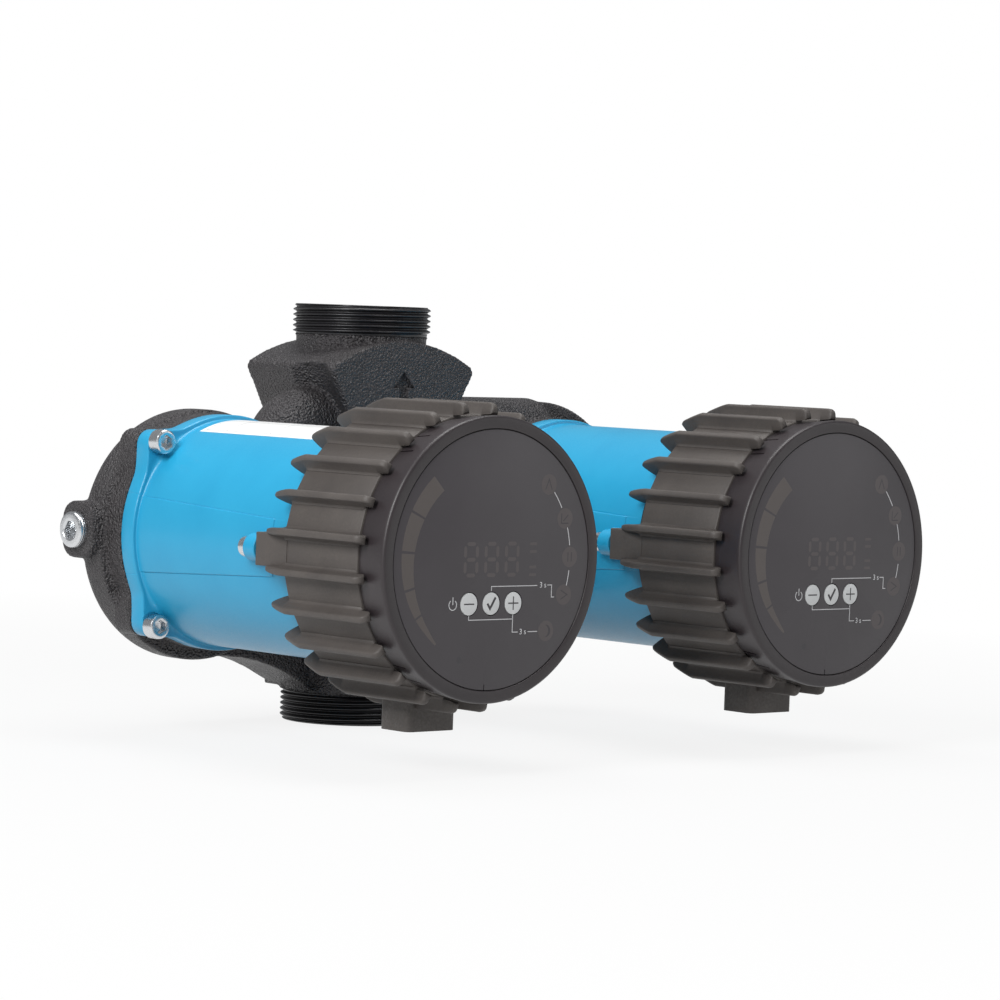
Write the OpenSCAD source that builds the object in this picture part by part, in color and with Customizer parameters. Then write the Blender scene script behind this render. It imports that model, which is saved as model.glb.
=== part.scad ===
// Twin-head wet-rotor circulation pump.
// Two canned motors side by side drive two impellers in one cast housing. The housing has a
// threaded inlet below, a threaded outlet above and a changeover flap where the two
// discharge ducts meet.
// Origin: centre of the inlet's sealing face. +Z runs up the port axis, the heads face -Y.

/* [Ports] */
// Length between the sealing faces of the inlet and the outlet
port_height = 180; // [176:1:200]
// Height of the two motor axes above the inlet face
axis_height = 84; // [83:1:90]
// Major diameter of the pipe thread on both ports
thread_d = 59.6; // [58:0.1:62]
// Length of each pipe thread
thread_len = 12.4; // [10:0.1:14]
// Diameter of the neck below the thread
neck_d = 56.4; // [54:0.1:57]
// Bore of the outlet port
port_bore_d = 38; // [34:1:40]
// Bore of the inlet port
inlet_bore_d = 39; // [36:1:41]

/* [Manifold] */
// Width of the manifold across its shoulders
manifold_w = 80; // [76:1:84]
// Depth of the manifold, front to back
manifold_d = 59.4; // [56:0.2:62]
// Height of the manifold's shoulders above the motor axes
shoulder_h = 69.5; // [66:0.5:72]
// Rise of the manifold's crown above its shoulders
crown_rise = 11.7; // [9.7:0.1:14]
// Width at the foot of the manifold, where the inlet neck leaves it
foot_w = 50; // [48:1:56]
// Depth of the foot's underside below the motor axes
foot_h = 69.8; // [66:0.2:71]
// Wall of the cast passages
cast_wall = 5; // [4:0.5:6]
// Outer radius of the discharge ducts
duct_r = 14; // [13:0.5:14.5]
// Outer radius of the suction dome behind each impeller
dome_r = 22; // [20:0.5:24]

/* [Volutes] */
// Distance between the two motor axes
head_spacing = 190; // [186:1:196]
// Outer radius of the left volute
left_volute_r = 52.3; // [51:0.1:53]
// Outer radius of the right volute
right_volute_r = 53.5; // [52:0.1:54]
// Radius of the volute chambers
chamber_r = 46; // [44:0.5:46.5]
// Rounding of a volute's rear edge
volute_round = 6; // [4:0.5:8]
// Distance from the port axis forward to the casing's front face
casing_face = 22.6; // [22:0.1:24]
// Thickness of the casing's screwed flange
casing_flange_t = 11.1; // [9:0.1:12]

/* [Flanges] */
// Radius of the round part of both flanges
flange_r = 48.7; // [48:0.1:50]
// Distance of each flange screw from the motor axis, sideways and upwards
screw_offset = 37.6; // [37:0.1:38.5]
// Half the width across the flange's corner lobes
lobe_half = 42.2; // [42:0.1:44]
// Corner radius of the lobes
lobe_corner_r = 6; // [4:0.5:7]
// Thickness of the seal between casing and motor
seal_t = 0.8; // [0.6:0.1:1]
// Thickness of the motor's flange
motor_flange_t = 8; // [7:0.1:9]
// Major radius of the flange screws
flange_screw_r = 3; // [2.5:0.5:3]
// Length of the flange screws under the head
flange_screw_len = 17; // [14:1:18]

/* [Motor] */
// Outer radius of the motor housing
motor_r = 46.7; // [46:0.1:47]
// Inner radius of the motor housing
motor_bore_r = 44.2; // [44:0.1:44.4]
// Distance from the port axis to the motor housing's front end
motor_end = 128; // [126:0.5:130]
// Thickness of the motor housing's front wall
motor_wall = 3.5; // [3:0.1:4]
// Length of the stator core
stator_len = 46; // [42:1:48]
// Distance from the port axis to the stator core's rear face
stator_start = 48; // [46:0.5:50]
// Outer radius of the rotor can
can_r = 21.2; // [20.8:0.1:21.4]
// Wall of the rotor can
can_wall = 0.8; // [0.6:0.1:0.9]
// Radius of the rotor
rotor_r = 19.6; // [19:0.1:19.8]
// Radius of the shaft
shaft_r = 4.5; // [4:0.1:5]
// Outer radius of the sleeve bearings
bearing_r = 8; // [7.5:0.1:8.5]
// Length of the sleeve bearings
bearing_len = 10; // [8:0.5:11]
// Running clearance between shaft and bearings, on the radius
running_gap = 0.05; // [0.02:0.01:0.08]

/* [Impeller] */
// Radius of the impeller
impeller_r = 31; // [28:0.5:34]
// Radius of the impeller's inlet eye
eye_r = 12.2; // [11.5:0.1:12.5]
// Number of vanes
vane_count = 7; // [5:1:8]
// Width of the vanes, front to back
vane_w = 8; // [6:0.5:8.5]
// Thickness of a vane
vane_t = 1.8; // [1.4:0.1:2.4]

/* [Electronics housing] */
// Distance across the flats of the faceted barrel, halved
barrel_r = 54.6; // [54:0.1:55]
// Distance from the motor housing's front end to the barrel's rear edge
barrel_setoff = 7.3; // [6.5:0.1:8]
// Length of the barrel
barrel_len = 44.1; // [43:0.1:45.2]
// Number of cooling fins, with a gap between two of them at the top, the sides and the bottom
fin_count = 24; // [24:24:24]
// Radius over the fins
fin_r = 60.4; // [59.6:0.1:61.4]
// Radius of the fins' pointed rear tips
fin_tip_r = 57.4; // [57:0.1:58]
// Length of the fins' pointed tips behind the barrel's rear edge
fin_rear_reach = 8.3; // [7.3:0.1:8.8]
// Length of the fins over the cover's skirt
fin_front_reach = 6; // [5:0.1:7]
// Thickness of a fin at its outer edge
fin_edge_t = 2.8; // [2.4:0.1:3]
// Thickness of a fin at its root
fin_root_t = 4.2; // [4:0.1:4.6]

/* [Front cover] */
// Radius of the front cover at the face
cover_r = 55.4; // [55:0.1:55.8]
// Radius of the cover's skirt where it meets the barrel
skirt_r = 54; // [53.6:0.1:54.1]
// Length of the cover from the barrel to its front face
cover_len = 15.9; // [15.4:0.1:16.6]
// Radius of the display panel
panel_r = 50.2; // [49.6:0.1:50.6]
// Thickness of the display panel
panel_t = 2.5; // [2:0.1:2.6]
// Radius of the keys
key_r = 4.35; // [4:0.05:4.6]
// Distance between neighbouring keys
key_pitch = 11.4; // [11.2:0.1:12]
// Distance of the row of keys below the motor axis
key_drop = 16.8; // [14:0.1:20]
// Travel of a key
key_travel = 0.4; // [0.2:0.05:0.4]

/* [Cable socket] */
// Width of the cable socket
socket_w = 25.2; // [24:0.1:25.6]
// Depth of the cable socket, front to back
socket_d = 17.4; // [16:0.1:18]
// Distance from the barrel's rear edge to the socket's rear face
socket_setoff = 10.5; // [8.7:0.1:11.7]
// Height of the cable socket below its seat
socket_h = 13; // [12:0.1:14]

/* [Side plug] */
// Distance from the motor axis to the plug boss's flat face
boss_reach = 54.3; // [54:0.1:56]
// Radius of the plug's collar
plug_collar_r = 7.4; // [7:0.1:7.8]
// Major radius of the plug's thread
plug_r = 6; // [5:0.5:6]

/* [Hidden] */
$fn = 64;

left = -1;
right = 1;
// One overrun for every cut
over = 1;
// Gap between faces that seat on each other but belong to different pieces
seat_gap = 0.2;
// Radial play of screws in their holes
screw_play = 0.3;

// Manifold values
crown_h = shoulder_h + crown_rise;
crown_r = (manifold_w * manifold_w / 4 + crown_rise * crown_rise) / (2 * crown_rise);
shoulder_round = 3;
side_slope_share = 0.52;
port_bore_r = port_bore_d / 2;
inlet_bore_r = inlet_bore_d / 2;
chamber_half_d = 17;
duct_wall = 4.5;
duct_bore_r = duct_r - duct_wall;
duct_y = -5;
left_duct_h = 46;
right_duct_h = 43.5;
elbow_bend_r = 15;
left_leg_x = -head_spacing / 2 + chamber_r;
right_duct_inset = 3;
right_duct_end = head_spacing / 2 - right_duct_inset;
scoop_r = 22;
scoop_depth = 4;
scoop_y = -13.5;

// Flap values
flap_pivot_h = 36;
flap_seat_angle = 40;
flap_t = 2.4;
flap_len = 25;
flap_w = 30;
flap_hub_r = 4.4;
flap_pin_r = 2.5;
flap_pin_seat = 6;
flap_hub_gap = 0.8;
flap_seat_gap = 0.2;

// Suction chamber values
suction_front = -4;
suction_rear = 25;
suction_half_w = 78;
suction_drop_h = 54;
suction_top_h = 32.5;
suction_passage_y = 7;
manifold_bottom_h = 23;
inlet_block_drop = 24;
suction_curve_share = 2.2;
suction_steps = 10;

// Volute values
left_volute_shift = [1.5, -2];
right_volute_shift = [1, 2.5];
volute_rear = -3.8;
chamber_rear = 3;
plate_ledge = 2.5;
eye_counterbore_r = 15;
eye_counterbore_depth = 4;
plate_r = 45.4;
plate_t = 3;
plate_seat = casing_face - plate_t;
tapped_r = flange_screw_r;
tapped_depth = 10.5;

// Motor values
motor_flange_start = casing_face + seal_t;
motor_flange_end = motor_flange_start + motor_flange_t;
lead_hole_r = 9;
flange_fillet = 4;
spotface_r = 5.7;
side_pad_rise = 0.45;
side_pad_rear_half = 15.8;
side_pad_front_half = 11.3;
lug_setback = 17;
lug_start = motor_end - lug_setback;
lug_t = 7;
lug_reach = 50.2;
lug_r = 5.5;
lug_screw_r = 2.5;
lug_screw_len = 16;
lug_spotface_r = 4.5;
cap_head_share = 1.65;

// Can, bearing and shaft values
plate_hub_r = 13;
plate_hub_floor = 1;
plate_hub_end = casing_face + bearing_len + plate_hub_floor;
can_rim_r = 30;
can_rim_t = 1;
can_setback = 18;
can_end = motor_end - can_setback;
can_end_t = 1.2;
can_pocket_rim = 2.4;
can_pocket_r = bearing_r + can_pocket_rim;
shaft_start = 4.5;
shaft_end_gap = 1;
shaft_end = can_end - can_end_t - shaft_end_gap;
rotor_overhang = 1;
bearing_seat_gap = 0.02;

// Impeller values
impeller_rear = 5;
shroud_t = 1.6;
hub_plate_t = 2;
impeller_hub_r = 7.5;
vane_inner_r = 12.6;
vane_sweep = 62;
vane_steps = 7;
neck_wall = 2.4;
neck_len = 5.2;

// Stator values
core_r = motor_bore_r - seat_gap / 2;
core_bore_r = can_r + seat_gap / 2;
tooth_count = 6;
tooth_w = 11;
yoke_t = 7;
shoe_t = 3;
shoe_gap = 3;
coil_t = 5.4;
coil_clear = 0.3;

// Electronics housing values
barrel_start = motor_end + barrel_setoff;
barrel_end = barrel_start + barrel_len;
collar_len = 11;
collar_start = barrel_start - collar_len;
collar_r = 50;
floor_t = 4;
rear_cavity_r = 47.2;
cavity_r = 50.5;
step_setoff = 1.7;
step_start = barrel_start + step_setoff;
fin_start = barrel_start - fin_rear_reach;
fin_end = barrel_end + fin_front_reach;
fin_pitch = 360 / fin_count;
fin_root_r = 52;
fin_rear_root_r = 49;
fin_root_lead = 2.3;
fin_rear_root_start = barrel_start - fin_root_lead;
fin_slope_len = 11;
fin_nose_r = 3;
fin_first_angle = fin_pitch / 2;
fin_skirt_gap = 0.5;
fin_arc_steps = 6;
pad_half = 6.6;
pad_start = lug_start + lug_t + seat_gap / 2;

// Front cover values
cover_edge_r = 1.4;
latch_angle = 54;
latch_half_angle = 5.2;
latch_len = 8.6;
slot_w = 0.6;
slot_depth = 1.2;
cover_wall = 2.2;
spigot_len = 6.5;
face_end = barrel_end + cover_len;
panel_recess = 0.3;
panel_front = face_end - panel_recess;
panel_ledge = 3.6;
cover_inner_r = cavity_r - seat_gap - cover_wall;

// Board and key values
board_t = 1.6;
board_setoff = 6.6;
board_start = barrel_end + board_setoff;
key_gap = 0.3;
key_flange_rim = 0.9;
key_flange_r = key_r + key_flange_rim;
key_flange_t = 0.8;
key_flange_gap = 0.1;
switch_r = 1.5;
switch_clear = 0.1;
display_w = 30;
display_h = 16;
display_t = 3.6;
capacitor_r = 6;
capacitor_len = 16;
choke_w = 18;
choke_h = 14;
choke_t = 11;
capacitor_place_share = 1.6;

// Cable socket values
socket_seat_rise = 1.4;
socket_seat_r = barrel_r + socket_seat_rise;
socket_start = barrel_start + socket_setoff;
socket_drop = socket_seat_r + socket_h;
socket_corner = 3;
socket_wall = 1.9;
socket_cavity_depth = 9.6;
socket_spigot_w = 18;
socket_spigot_d = 9;
socket_spigot_h = 3;
pin_count = 3;
pin_pitch = 6;
pin_w = 2.8;
pin_t = 0.8;
pin_len = 6.4;

// Plug values
boss_w = 22;
boss_h = 23.4;
boss_corner = 8;
boss_y = -1;
plug_seal_t = 1.2;
plug_collar_t = 2.6;
plug_shank_len = 9;
hex_share = 0.52;

// Label values
label_t = 0.2;
label_gap = 0.03;
label_start = 37;
label_len = 72;
label_half_angle = 26;

// Colours, as the photograph shows the pieces
cast_black = [0.17, 0.17, 0.18];
motor_blue = [0.07, 0.58, 0.83];
fin_grey = [0.36, 0.33, 0.32];
cover_grey = [0.24, 0.21, 0.22];
panel_black = [0.14, 0.13, 0.14];
steel = [0.78, 0.79, 0.8];

// Frames and shared shapes

// Head frame: x to the right, y up, z forward out of the port axis plane
module at_head(side) {
    translate([side * head_spacing / 2, 0, axis_height]) rotate([90, 0, 0]) children();
}

module tube(outer, inner, start, end) {
    translate([0, 0, start]) difference() {
        cylinder(r = outer, h = end - start);
        translate([0, 0, -over]) cylinder(r = inner, h = end - start + 2 * over);
    }
}

module rod(r, start, end) {
    translate([0, 0, start]) cylinder(r = r, h = end - start);
}

// Rectangle with exact round corners
module round_rect(w, h, r) {
    square([w - 2 * r, h], center = true);
    square([w, h - 2 * r], center = true);
    for (sx = [-1, 1], sy = [-1, 1])
        translate([sx * (w / 2 - r), sy * (h / 2 - r)]) circle(r = r);
}

// Front view of both flanges: a round body with four screw lobes
module flange_outline(inset = 0) {
    circle(r = flange_r - inset);
    round_rect(2 * (lobe_half - inset), 2 * (lobe_half - inset), lobe_corner_r);
}

module at_screws() {
    for (sx = [-1, 1], sy = [-1, 1])
        translate([sx * screw_offset, sy * screw_offset, 0]) children();
}

// Socket head cap screw whose head rests on z = 0 and whose shank runs to -z
module cap_screw(r, len) {
    head_r = cap_head_share * r;
    difference() {
        union() {
            cylinder(r = head_r, h = 2 * r);
            translate([0, 0, -len]) cylinder(r = r, h = len);
        }
        translate([0, 0, r]) cylinder(r = r, h = r + over, $fn = 6);
    }
}

function arc(cx, cy, r, from, to, steps) =
    [for (i = [0 : steps]) let (a = from + (to - from) * i / steps)
        [cx + r * cos(a), cy + r * sin(a)]];

// Pump housing

// Half width of the manifold at height h above the motor axes
function manifold_half(h) = manifold_w / 2 - (shoulder_h - h) * side_slope_share;

// Front view of the upper manifold, with a crowned top and sides that draw in downwards
module manifold_outline() {
    bottom = manifold_bottom_h;
    offset(r = shoulder_round, $fn = 32) offset(delta = -shoulder_round) intersection() {
        translate([0, crown_h - crown_r]) circle(r = crown_r, $fn = 160);
        polygon([[-manifold_half(bottom), bottom], [manifold_half(bottom), bottom],
                 [manifold_half(crown_h), crown_h], [-manifold_half(crown_h), crown_h]]);
    }
}

// Underside of the suction chamber: it drops from the volutes to the manifold's foot
function suction_floor(x, wall) =
    let (run = suction_half_w - foot_w / 2, t = max(0, suction_half_w - abs(x)) / run)
    -suction_drop_h - (foot_h - suction_drop_h) * pow(min(1, t), suction_curve_share) + wall;

module suction_outline(wall) {
    half = suction_half_w - wall;
    tip = head_spacing / 2;
    tip_h = dome_r - wall;
    floor_points = [for (i = [-suction_steps : suction_steps])
        let (x = half * i / suction_steps) [x, suction_floor(x, wall)]];
    polygon(concat(floor_points, [[tip, -tip_h], [tip, tip_h],
        [half, suction_top_h - wall], [-half, suction_top_h - wall],
        [-tip, tip_h], [-tip, -tip_h]]));
}

// A shape drawn in front view at the motor axes' height, standing between two places on Y
module front_view(from_y, to_y) {
    translate([0, to_y, axis_height]) rotate([90, 0, 0]) linear_extrude(to_y - from_y) children();
}

function volute_shift(side) = side == left ? left_volute_shift : right_volute_shift;
function volute_r(side) = side == left ? left_volute_r : right_volute_r;

module volute_case(side) {
    r = volute_r(side);
    front = casing_face - casing_flange_t + over;
    at_head(side) translate(volute_shift(side)) rotate_extrude() polygon(concat(
        [[0, front], [0, volute_rear]],
        arc(r - volute_round, volute_rear + volute_round, volute_round, -90, 0, 6),
        [[r, front]]));
}

// Left discharge: a leg up from the volute's throat, an elbow and a run to the manifold
module left_duct(r) {
    bend = [left_leg_x + elbow_bend_r, left_duct_h - elbow_bend_r];
    translate([0, duct_y, axis_height]) {
        translate([left_leg_x, 0, duct_r]) cylinder(r = r, h = bend[1] - duct_r);
        translate([bend[0], 0, bend[1]]) rotate([90, 0, 0])
            rotate([0, 0, 90]) rotate_extrude(angle = 90) translate([elbow_bend_r, 0]) circle(r = r);
        translate([bend[0], 0, left_duct_h]) rotate([0, 90, 0])
            cylinder(r = r, h = -bend[0] - flap_t);
    }
}

// Right discharge: a straight run off the top of the volute
module right_duct(r) {
    translate([flap_t, duct_y, axis_height + right_duct_h]) rotate([0, 90, 0])
        cylinder(r = r, h = right_duct_end - flap_t);
    translate([right_duct_end, duct_y, axis_height + right_duct_h]) sphere(r = r);
}

module plug_boss(side) {
    translate([side * head_spacing / 2, boss_y, axis_height]) rotate([90, 0, side * 90])
        linear_extrude(boss_reach) round_rect(boss_w, boss_h, boss_corner);
}

module port_stub(sealing_z, inward) {
    thread_end = sealing_z + inward * thread_len;
    translate([0, 0, min(sealing_z, thread_end)]) cylinder(r = thread_d / 2, h = thread_len);
    neck_from = inward > 0 ? thread_end : axis_height + shoulder_h;
    neck_to = inward > 0 ? axis_height - foot_h + over : thread_end;
    translate([0, 0, neck_from]) cylinder(r = neck_d / 2, h = neck_to - neck_from);
}

module housing_body() {
    for (side = [left, right]) {
        at_head(side) translate([0, 0, casing_face - casing_flange_t])
            linear_extrude(casing_flange_t) flange_outline();
        volute_case(side);
        plug_boss(side);
        at_head(side) rod(dome_r, -suction_rear, volute_rear + over);
    }
    front_view(suction_front, suction_rear) suction_outline(0);
    difference() {
        front_view(-manifold_d / 2, manifold_d / 2) manifold_outline();
        for (side = [left, right]) manifold_scoop(side);
    }
    inlet_block();
    left_duct(duct_r);
    right_duct(duct_r);
    port_stub(0, 1);
    port_stub(port_height, -1);
}

// Shallow hollow down each side of the manifold, ahead of its middle
module manifold_scoop(side) {
    lean = atan(side_slope_share);
    translate([side * manifold_w / 2, scoop_y, axis_height + shoulder_h]) rotate([0, side * lean, 0])
        translate([side * (scoop_r - scoop_depth), 0, -manifold_w]) cylinder(r = scoop_r, h = manifold_w);
}

// Block round the inlet bore, from the foot up to the suction chamber
module inlet_block() {
    block_top = foot_h - inlet_block_drop;
    translate([0, 0, axis_height - foot_h]) linear_extrude(block_top)
        round_rect(foot_w, manifold_d, shoulder_round);
}

function seat_normal(side) = [side * cos(flap_seat_angle), -sin(flap_seat_angle)];
function seat_along(side) = [side * sin(flap_seat_angle), cos(flap_seat_angle)];
function seat_point(side, t) =
    [0, flap_pivot_h] + (flap_t / 2 + flap_seat_gap) * seat_normal(side) + t * seat_along(side);

// Chamber where the discharge ducts meet: two sloping seats rise from the flap's pivot
module flap_chamber() {
    top = flap_pivot_h + flap_len + 1.5 * flap_t;
    reach = flap_len + flap_t;
    front_view(-chamber_half_d, chamber_half_d) {
        polygon([seat_point(left, 0), seat_point(right, 0), seat_point(right, reach),
                 [seat_point(right, reach)[0], top], [seat_point(left, reach)[0], top],
                 seat_point(left, reach)]);
        translate([0, flap_pivot_h]) circle(r = flap_hub_r + flap_hub_gap);
    }
}

module housing_passages() {
    for (side = [left, right]) {
        at_head(side) {
            rod(chamber_r, plate_seat, casing_face + over);
            translate(volute_shift(side)) rod(chamber_r, chamber_rear, casing_face - casing_flange_t);
            rod(chamber_r - plate_ledge, casing_face - casing_flange_t - over, plate_seat);
            rod(eye_counterbore_r, chamber_rear - eye_counterbore_depth, chamber_rear + over);
            rod(eye_r, -suction_rear + 2 * cast_wall, chamber_rear);
            rod(dome_r - cast_wall, -suction_rear + cast_wall, suction_front);
            at_screws() rod(tapped_r, casing_face - tapped_depth, casing_face + over);
        }
        translate([side * head_spacing / 2, boss_y, axis_height]) rotate([0, side * 90, 0])
            translate([0, 0, chamber_r - 3 * over]) cylinder(r = plug_r, h = boss_reach);
        at_boss_face(side) rod(plug_collar_r + 2 * seat_gap, 0, over);
    }
    front_view(suction_passage_y, suction_rear - cast_wall) suction_outline(cast_wall);
    translate([0, 0, -over]) cylinder(r = inlet_bore_r, h = axis_height - inlet_block_drop - cast_wall + over);
    translate([0, 0, axis_height + flap_pivot_h + flap_len - flap_t])
        cylinder(r = port_bore_r, h = port_height);
    left_duct(duct_bore_r);
    right_duct(duct_bore_r);
    flap_chamber();
    front_view(-chamber_half_d - flap_pin_seat, chamber_half_d + flap_pin_seat)
        translate([0, flap_pivot_h]) circle(r = flap_pin_r);
}

module pump_housing() {
    color(cast_black) difference() {
        housing_body();
        housing_passages();
    }
}

module changeover_flap() {
    color(steel) translate([0, flap_w / 2, axis_height + flap_pivot_h]) rotate([90, 0, 0])
        linear_extrude(flap_w) rotate([0, 0, flap_seat_angle]) difference() {
            union() {
                circle(r = flap_hub_r);
                translate([-flap_t / 2, 0]) square([flap_t, flap_len]);
            }
            circle(r = flap_pin_r + running_gap);
        }
}

module flap_pin() {
    half = chamber_half_d + flap_pin_seat - seat_gap;
    color(steel) translate([0, half, axis_height + flap_pivot_h]) rotate([90, 0, 0])
        cylinder(r = flap_pin_r, h = 2 * half);
}

module at_boss_face(side) {
    translate([side * (head_spacing / 2 + boss_reach), boss_y, axis_height])
        rotate([0, side * 90, 0]) children();
}

module vent_plugs() {
    hex_r = hex_share * plug_collar_r;
    color(steel) for (side = [left, right]) at_boss_face(side) difference() {
        union() {
            rod(plug_r, -plug_shank_len, plug_seal_t);
            rod(plug_collar_r, plug_seal_t, plug_seal_t + plug_collar_t);
        }
        translate([0, 0, -plug_collar_t]) cylinder(r = hex_r, h = 3 * plug_collar_t, $fn = 6);
    }
}

module plug_seals() {
    color([0.72, 0.5, 0.3]) for (side = [left, right])
        at_boss_face(side) tube(plug_collar_r, plug_r + running_gap, 0, plug_seal_t);
}

// Wet end of each motor

module casing_seal(side) {
    color([0.1, 0.1, 0.1]) at_head(side) translate([0, 0, casing_face]) difference() {
        linear_extrude(seal_t) flange_outline(seal_t);
        translate([0, 0, -over]) cylinder(r = motor_bore_r, h = seal_t + 2 * over);
        at_screws() rod(flange_screw_r + screw_play, -over, seal_t + over);
    }
}

module bearing_plate(side) {
    color(steel) at_head(side) difference() {
        union() {
            rod(plate_r, plate_seat, casing_face);
            rod(plate_hub_r, plate_seat, plate_hub_end);
        }
        rod(bearing_r, casing_face - plate_t + can_rim_t, plate_hub_end + over);
        rod(shaft_r + screw_play, plate_seat - over, plate_hub_end);
    }
}

module front_bearing(side) {
    start = plate_seat + can_rim_t;
    color([0.25, 0.25, 0.27]) at_head(side)
        tube(bearing_r - bearing_seat_gap, shaft_r + running_gap, start, start + bearing_len);
}

module rear_bearing(side) {
    end = can_end - can_end_t;
    color([0.25, 0.25, 0.27]) at_head(side)
        tube(bearing_r - bearing_seat_gap, shaft_r + running_gap, end - bearing_len, end);
}

// Thin cup that keeps the water off the stator, with a pocket for the rear bearing
module rotor_can(side) {
    inner = can_r - can_wall;
    end = can_end - can_end_t;
    color(steel) at_head(side) rotate_extrude() polygon([
        [inner, casing_face], [can_rim_r, casing_face], [can_rim_r, casing_face + can_rim_t],
        [can_r, casing_face + can_rim_t], [can_r, can_end], [0, can_end], [0, end],
        [bearing_r, end], [bearing_r, end - bearing_len], [can_pocket_r, end - bearing_len],
        [can_pocket_r, end], [inner, end]]);
}

module shaft(side) {
    color(steel) at_head(side) rod(shaft_r, shaft_start, shaft_end);
}

module rotor(side) {
    color([0.55, 0.55, 0.57]) at_head(side)
        tube(rotor_r, shaft_r, stator_start - rotor_overhang, stator_start + stator_len + rotor_overhang);
}

function vane_r(t) = vane_inner_r + (impeller_r - vane_inner_r) * t;
function vane_point(t, offset) =
    let (a = -vane_sweep * t) [(vane_r(t)) * cos(a) - offset * sin(a), vane_r(t) * sin(a) + offset * cos(a)];

// One backward-curved vane in front view
module vane_outline() {
    half = vane_t / 2;
    polygon(concat(
        [for (i = [0 : vane_steps]) vane_point(i / vane_steps, half)],
        [for (i = [vane_steps : -1 : 0]) vane_point(i / vane_steps, -half)]));
}

module impeller(side) {
    shroud_end = impeller_rear + shroud_t;
    hub_start = shroud_end + vane_w;
    color([0.8, 0.76, 0.66]) at_head(side) difference() {
        union() {
            rod(impeller_r, hub_start, hub_start + hub_plate_t);
            rod(impeller_hub_r, impeller_rear, hub_start + over);
            tube(impeller_r, eye_r, impeller_rear, shroud_end);
            tube(eye_r + neck_wall, eye_r, shroud_end - neck_len - shroud_t, shroud_end);
            intersection() {
                translate([0, 0, impeller_rear]) linear_extrude(vane_w + shroud_t + over)
                    for (i = [0 : vane_count - 1]) rotate([0, 0, i * 360 / vane_count]) vane_outline();
                rod(impeller_r, impeller_rear, hub_start + hub_plate_t);
            }
        }
        rod(shaft_r, -casing_face, casing_face);
    }
}

// Dry end of each motor

module tooth_place(i) {
    rotate([0, 0, (i + 0.5) * 360 / tooth_count]) children();
}

// Lamination: a ring with six wound teeth that widen to pole shoes at the can
module lamination() {
    difference() {
        union() {
            difference() {
                circle(r = core_r);
                circle(r = core_r - yoke_t);
            }
            for (i = [0 : tooth_count - 1]) tooth_place(i)
                translate([core_bore_r, -tooth_w / 2]) square([core_r - core_bore_r - yoke_t / 2, tooth_w]);
            difference() {
                circle(r = core_bore_r + shoe_t);
                for (i = [0 : tooth_count - 1]) rotate([0, 0, i * 360 / tooth_count])
                    translate([0, -shoe_gap / 2]) square([core_r, shoe_gap]);
            }
        }
        circle(r = core_bore_r);
    }
}

module stator_core(side) {
    color([0.5, 0.5, 0.52]) at_head(side) translate([0, 0, stator_start])
        linear_extrude(stator_len) lamination();
}

module coil(inner_w, outer_w, inner_len, outer_len) {
    difference() {
        square([outer_w, outer_len], center = true);
        square([inner_w, inner_len], center = true);
    }
}

// Six coils, each wound round one tooth
module stator_windings(side) {
    inner_w = tooth_w + 2 * coil_clear;
    inner_len = stator_len + 2 * coil_clear;
    from_r = core_bore_r + shoe_t + coil_clear;
    outer_w = inner_w + 2 * coil_t;
    to_r = sqrt(pow(core_r - yoke_t - coil_clear, 2) - outer_w * outer_w / 4);
    color([0.72, 0.4, 0.2]) at_head(side) for (i = [0 : tooth_count - 1]) tooth_place(i)
        translate([from_r, 0, stator_start + stator_len / 2]) rotate([90, 0, 90])
            linear_extrude(to_r - from_r)
                coil(inner_w, outer_w, inner_len, inner_len + 2 * coil_t);
}

// Side ear in front view, reaching out of the motor to its screw
module ear_outline(side, r) {
    translate([side * lug_reach, 0]) circle(r = r);
    translate([min(0, side * lug_reach), -r]) square([lug_reach, 2 * r]);
}

// Shallow pad along each side of the motor, between two straight parting lines
module side_pad(side) {
    len = lug_start + lug_t - motor_flange_start;
    at_head(side) intersection() {
        rod(motor_r + side_pad_rise, motor_flange_start, motor_flange_start + len);
        rotate([0, 90, 0]) translate([-motor_flange_start, 0, -motor_r - over]) linear_extrude(2 * (motor_r + over))
            polygon([[0, -side_pad_rear_half], [0, side_pad_rear_half],
                     [-len, side_pad_front_half], [-len, -side_pad_front_half]]);
    }
}

module motor_housing(side) {
    color(motor_blue) difference() {
        union() {
            at_head(side) {
                rod(motor_r, motor_flange_start, motor_end);
                translate([0, 0, motor_flange_start]) linear_extrude(motor_flange_t) flange_outline();
                rotate_extrude() polygon(concat([[motor_r - over, motor_flange_end + flange_fillet],
                    [motor_r - over, motor_flange_end - over], [motor_r + flange_fillet, motor_flange_end - over]],
                    arc(motor_r + flange_fillet, motor_flange_end + flange_fillet, flange_fillet, 270, 180, 6)));
                translate([0, 0, lug_start]) linear_extrude(lug_t)
                    for (out = [left, right]) ear_outline(out, lug_r);
            }
            side_pad(side);
        }
        at_head(side) {
            rod(motor_bore_r, motor_flange_start - over, motor_end - motor_wall);
            rod(lead_hole_r, motor_end - 2 * motor_wall, motor_end + over);
            at_screws() {
                rod(flange_screw_r + screw_play, motor_flange_start - over, motor_flange_end + over);
                rod(spotface_r, motor_flange_end, motor_flange_end + 2 * flange_fillet);
            }
            for (out = [left, right]) translate([out * lug_reach, 0, 0]) {
                rod(lug_screw_r + screw_play, lug_start - over, lug_start + lug_t + over);
                rod(lug_spotface_r, lug_start - 2 * lug_t, lug_start);
            }
        }
    }
}

module flange_screws(side) {
    color(steel) at_head(side) at_screws()
        translate([0, 0, motor_flange_end]) cap_screw(flange_screw_r, flange_screw_len);
}

module housing_screws(side) {
    color(steel) at_head(side) for (out = [left, right])
        translate([out * lug_reach, 0, lug_start]) mirror([0, 0, 1])
            cap_screw(lug_screw_r, lug_screw_len);
}

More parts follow.
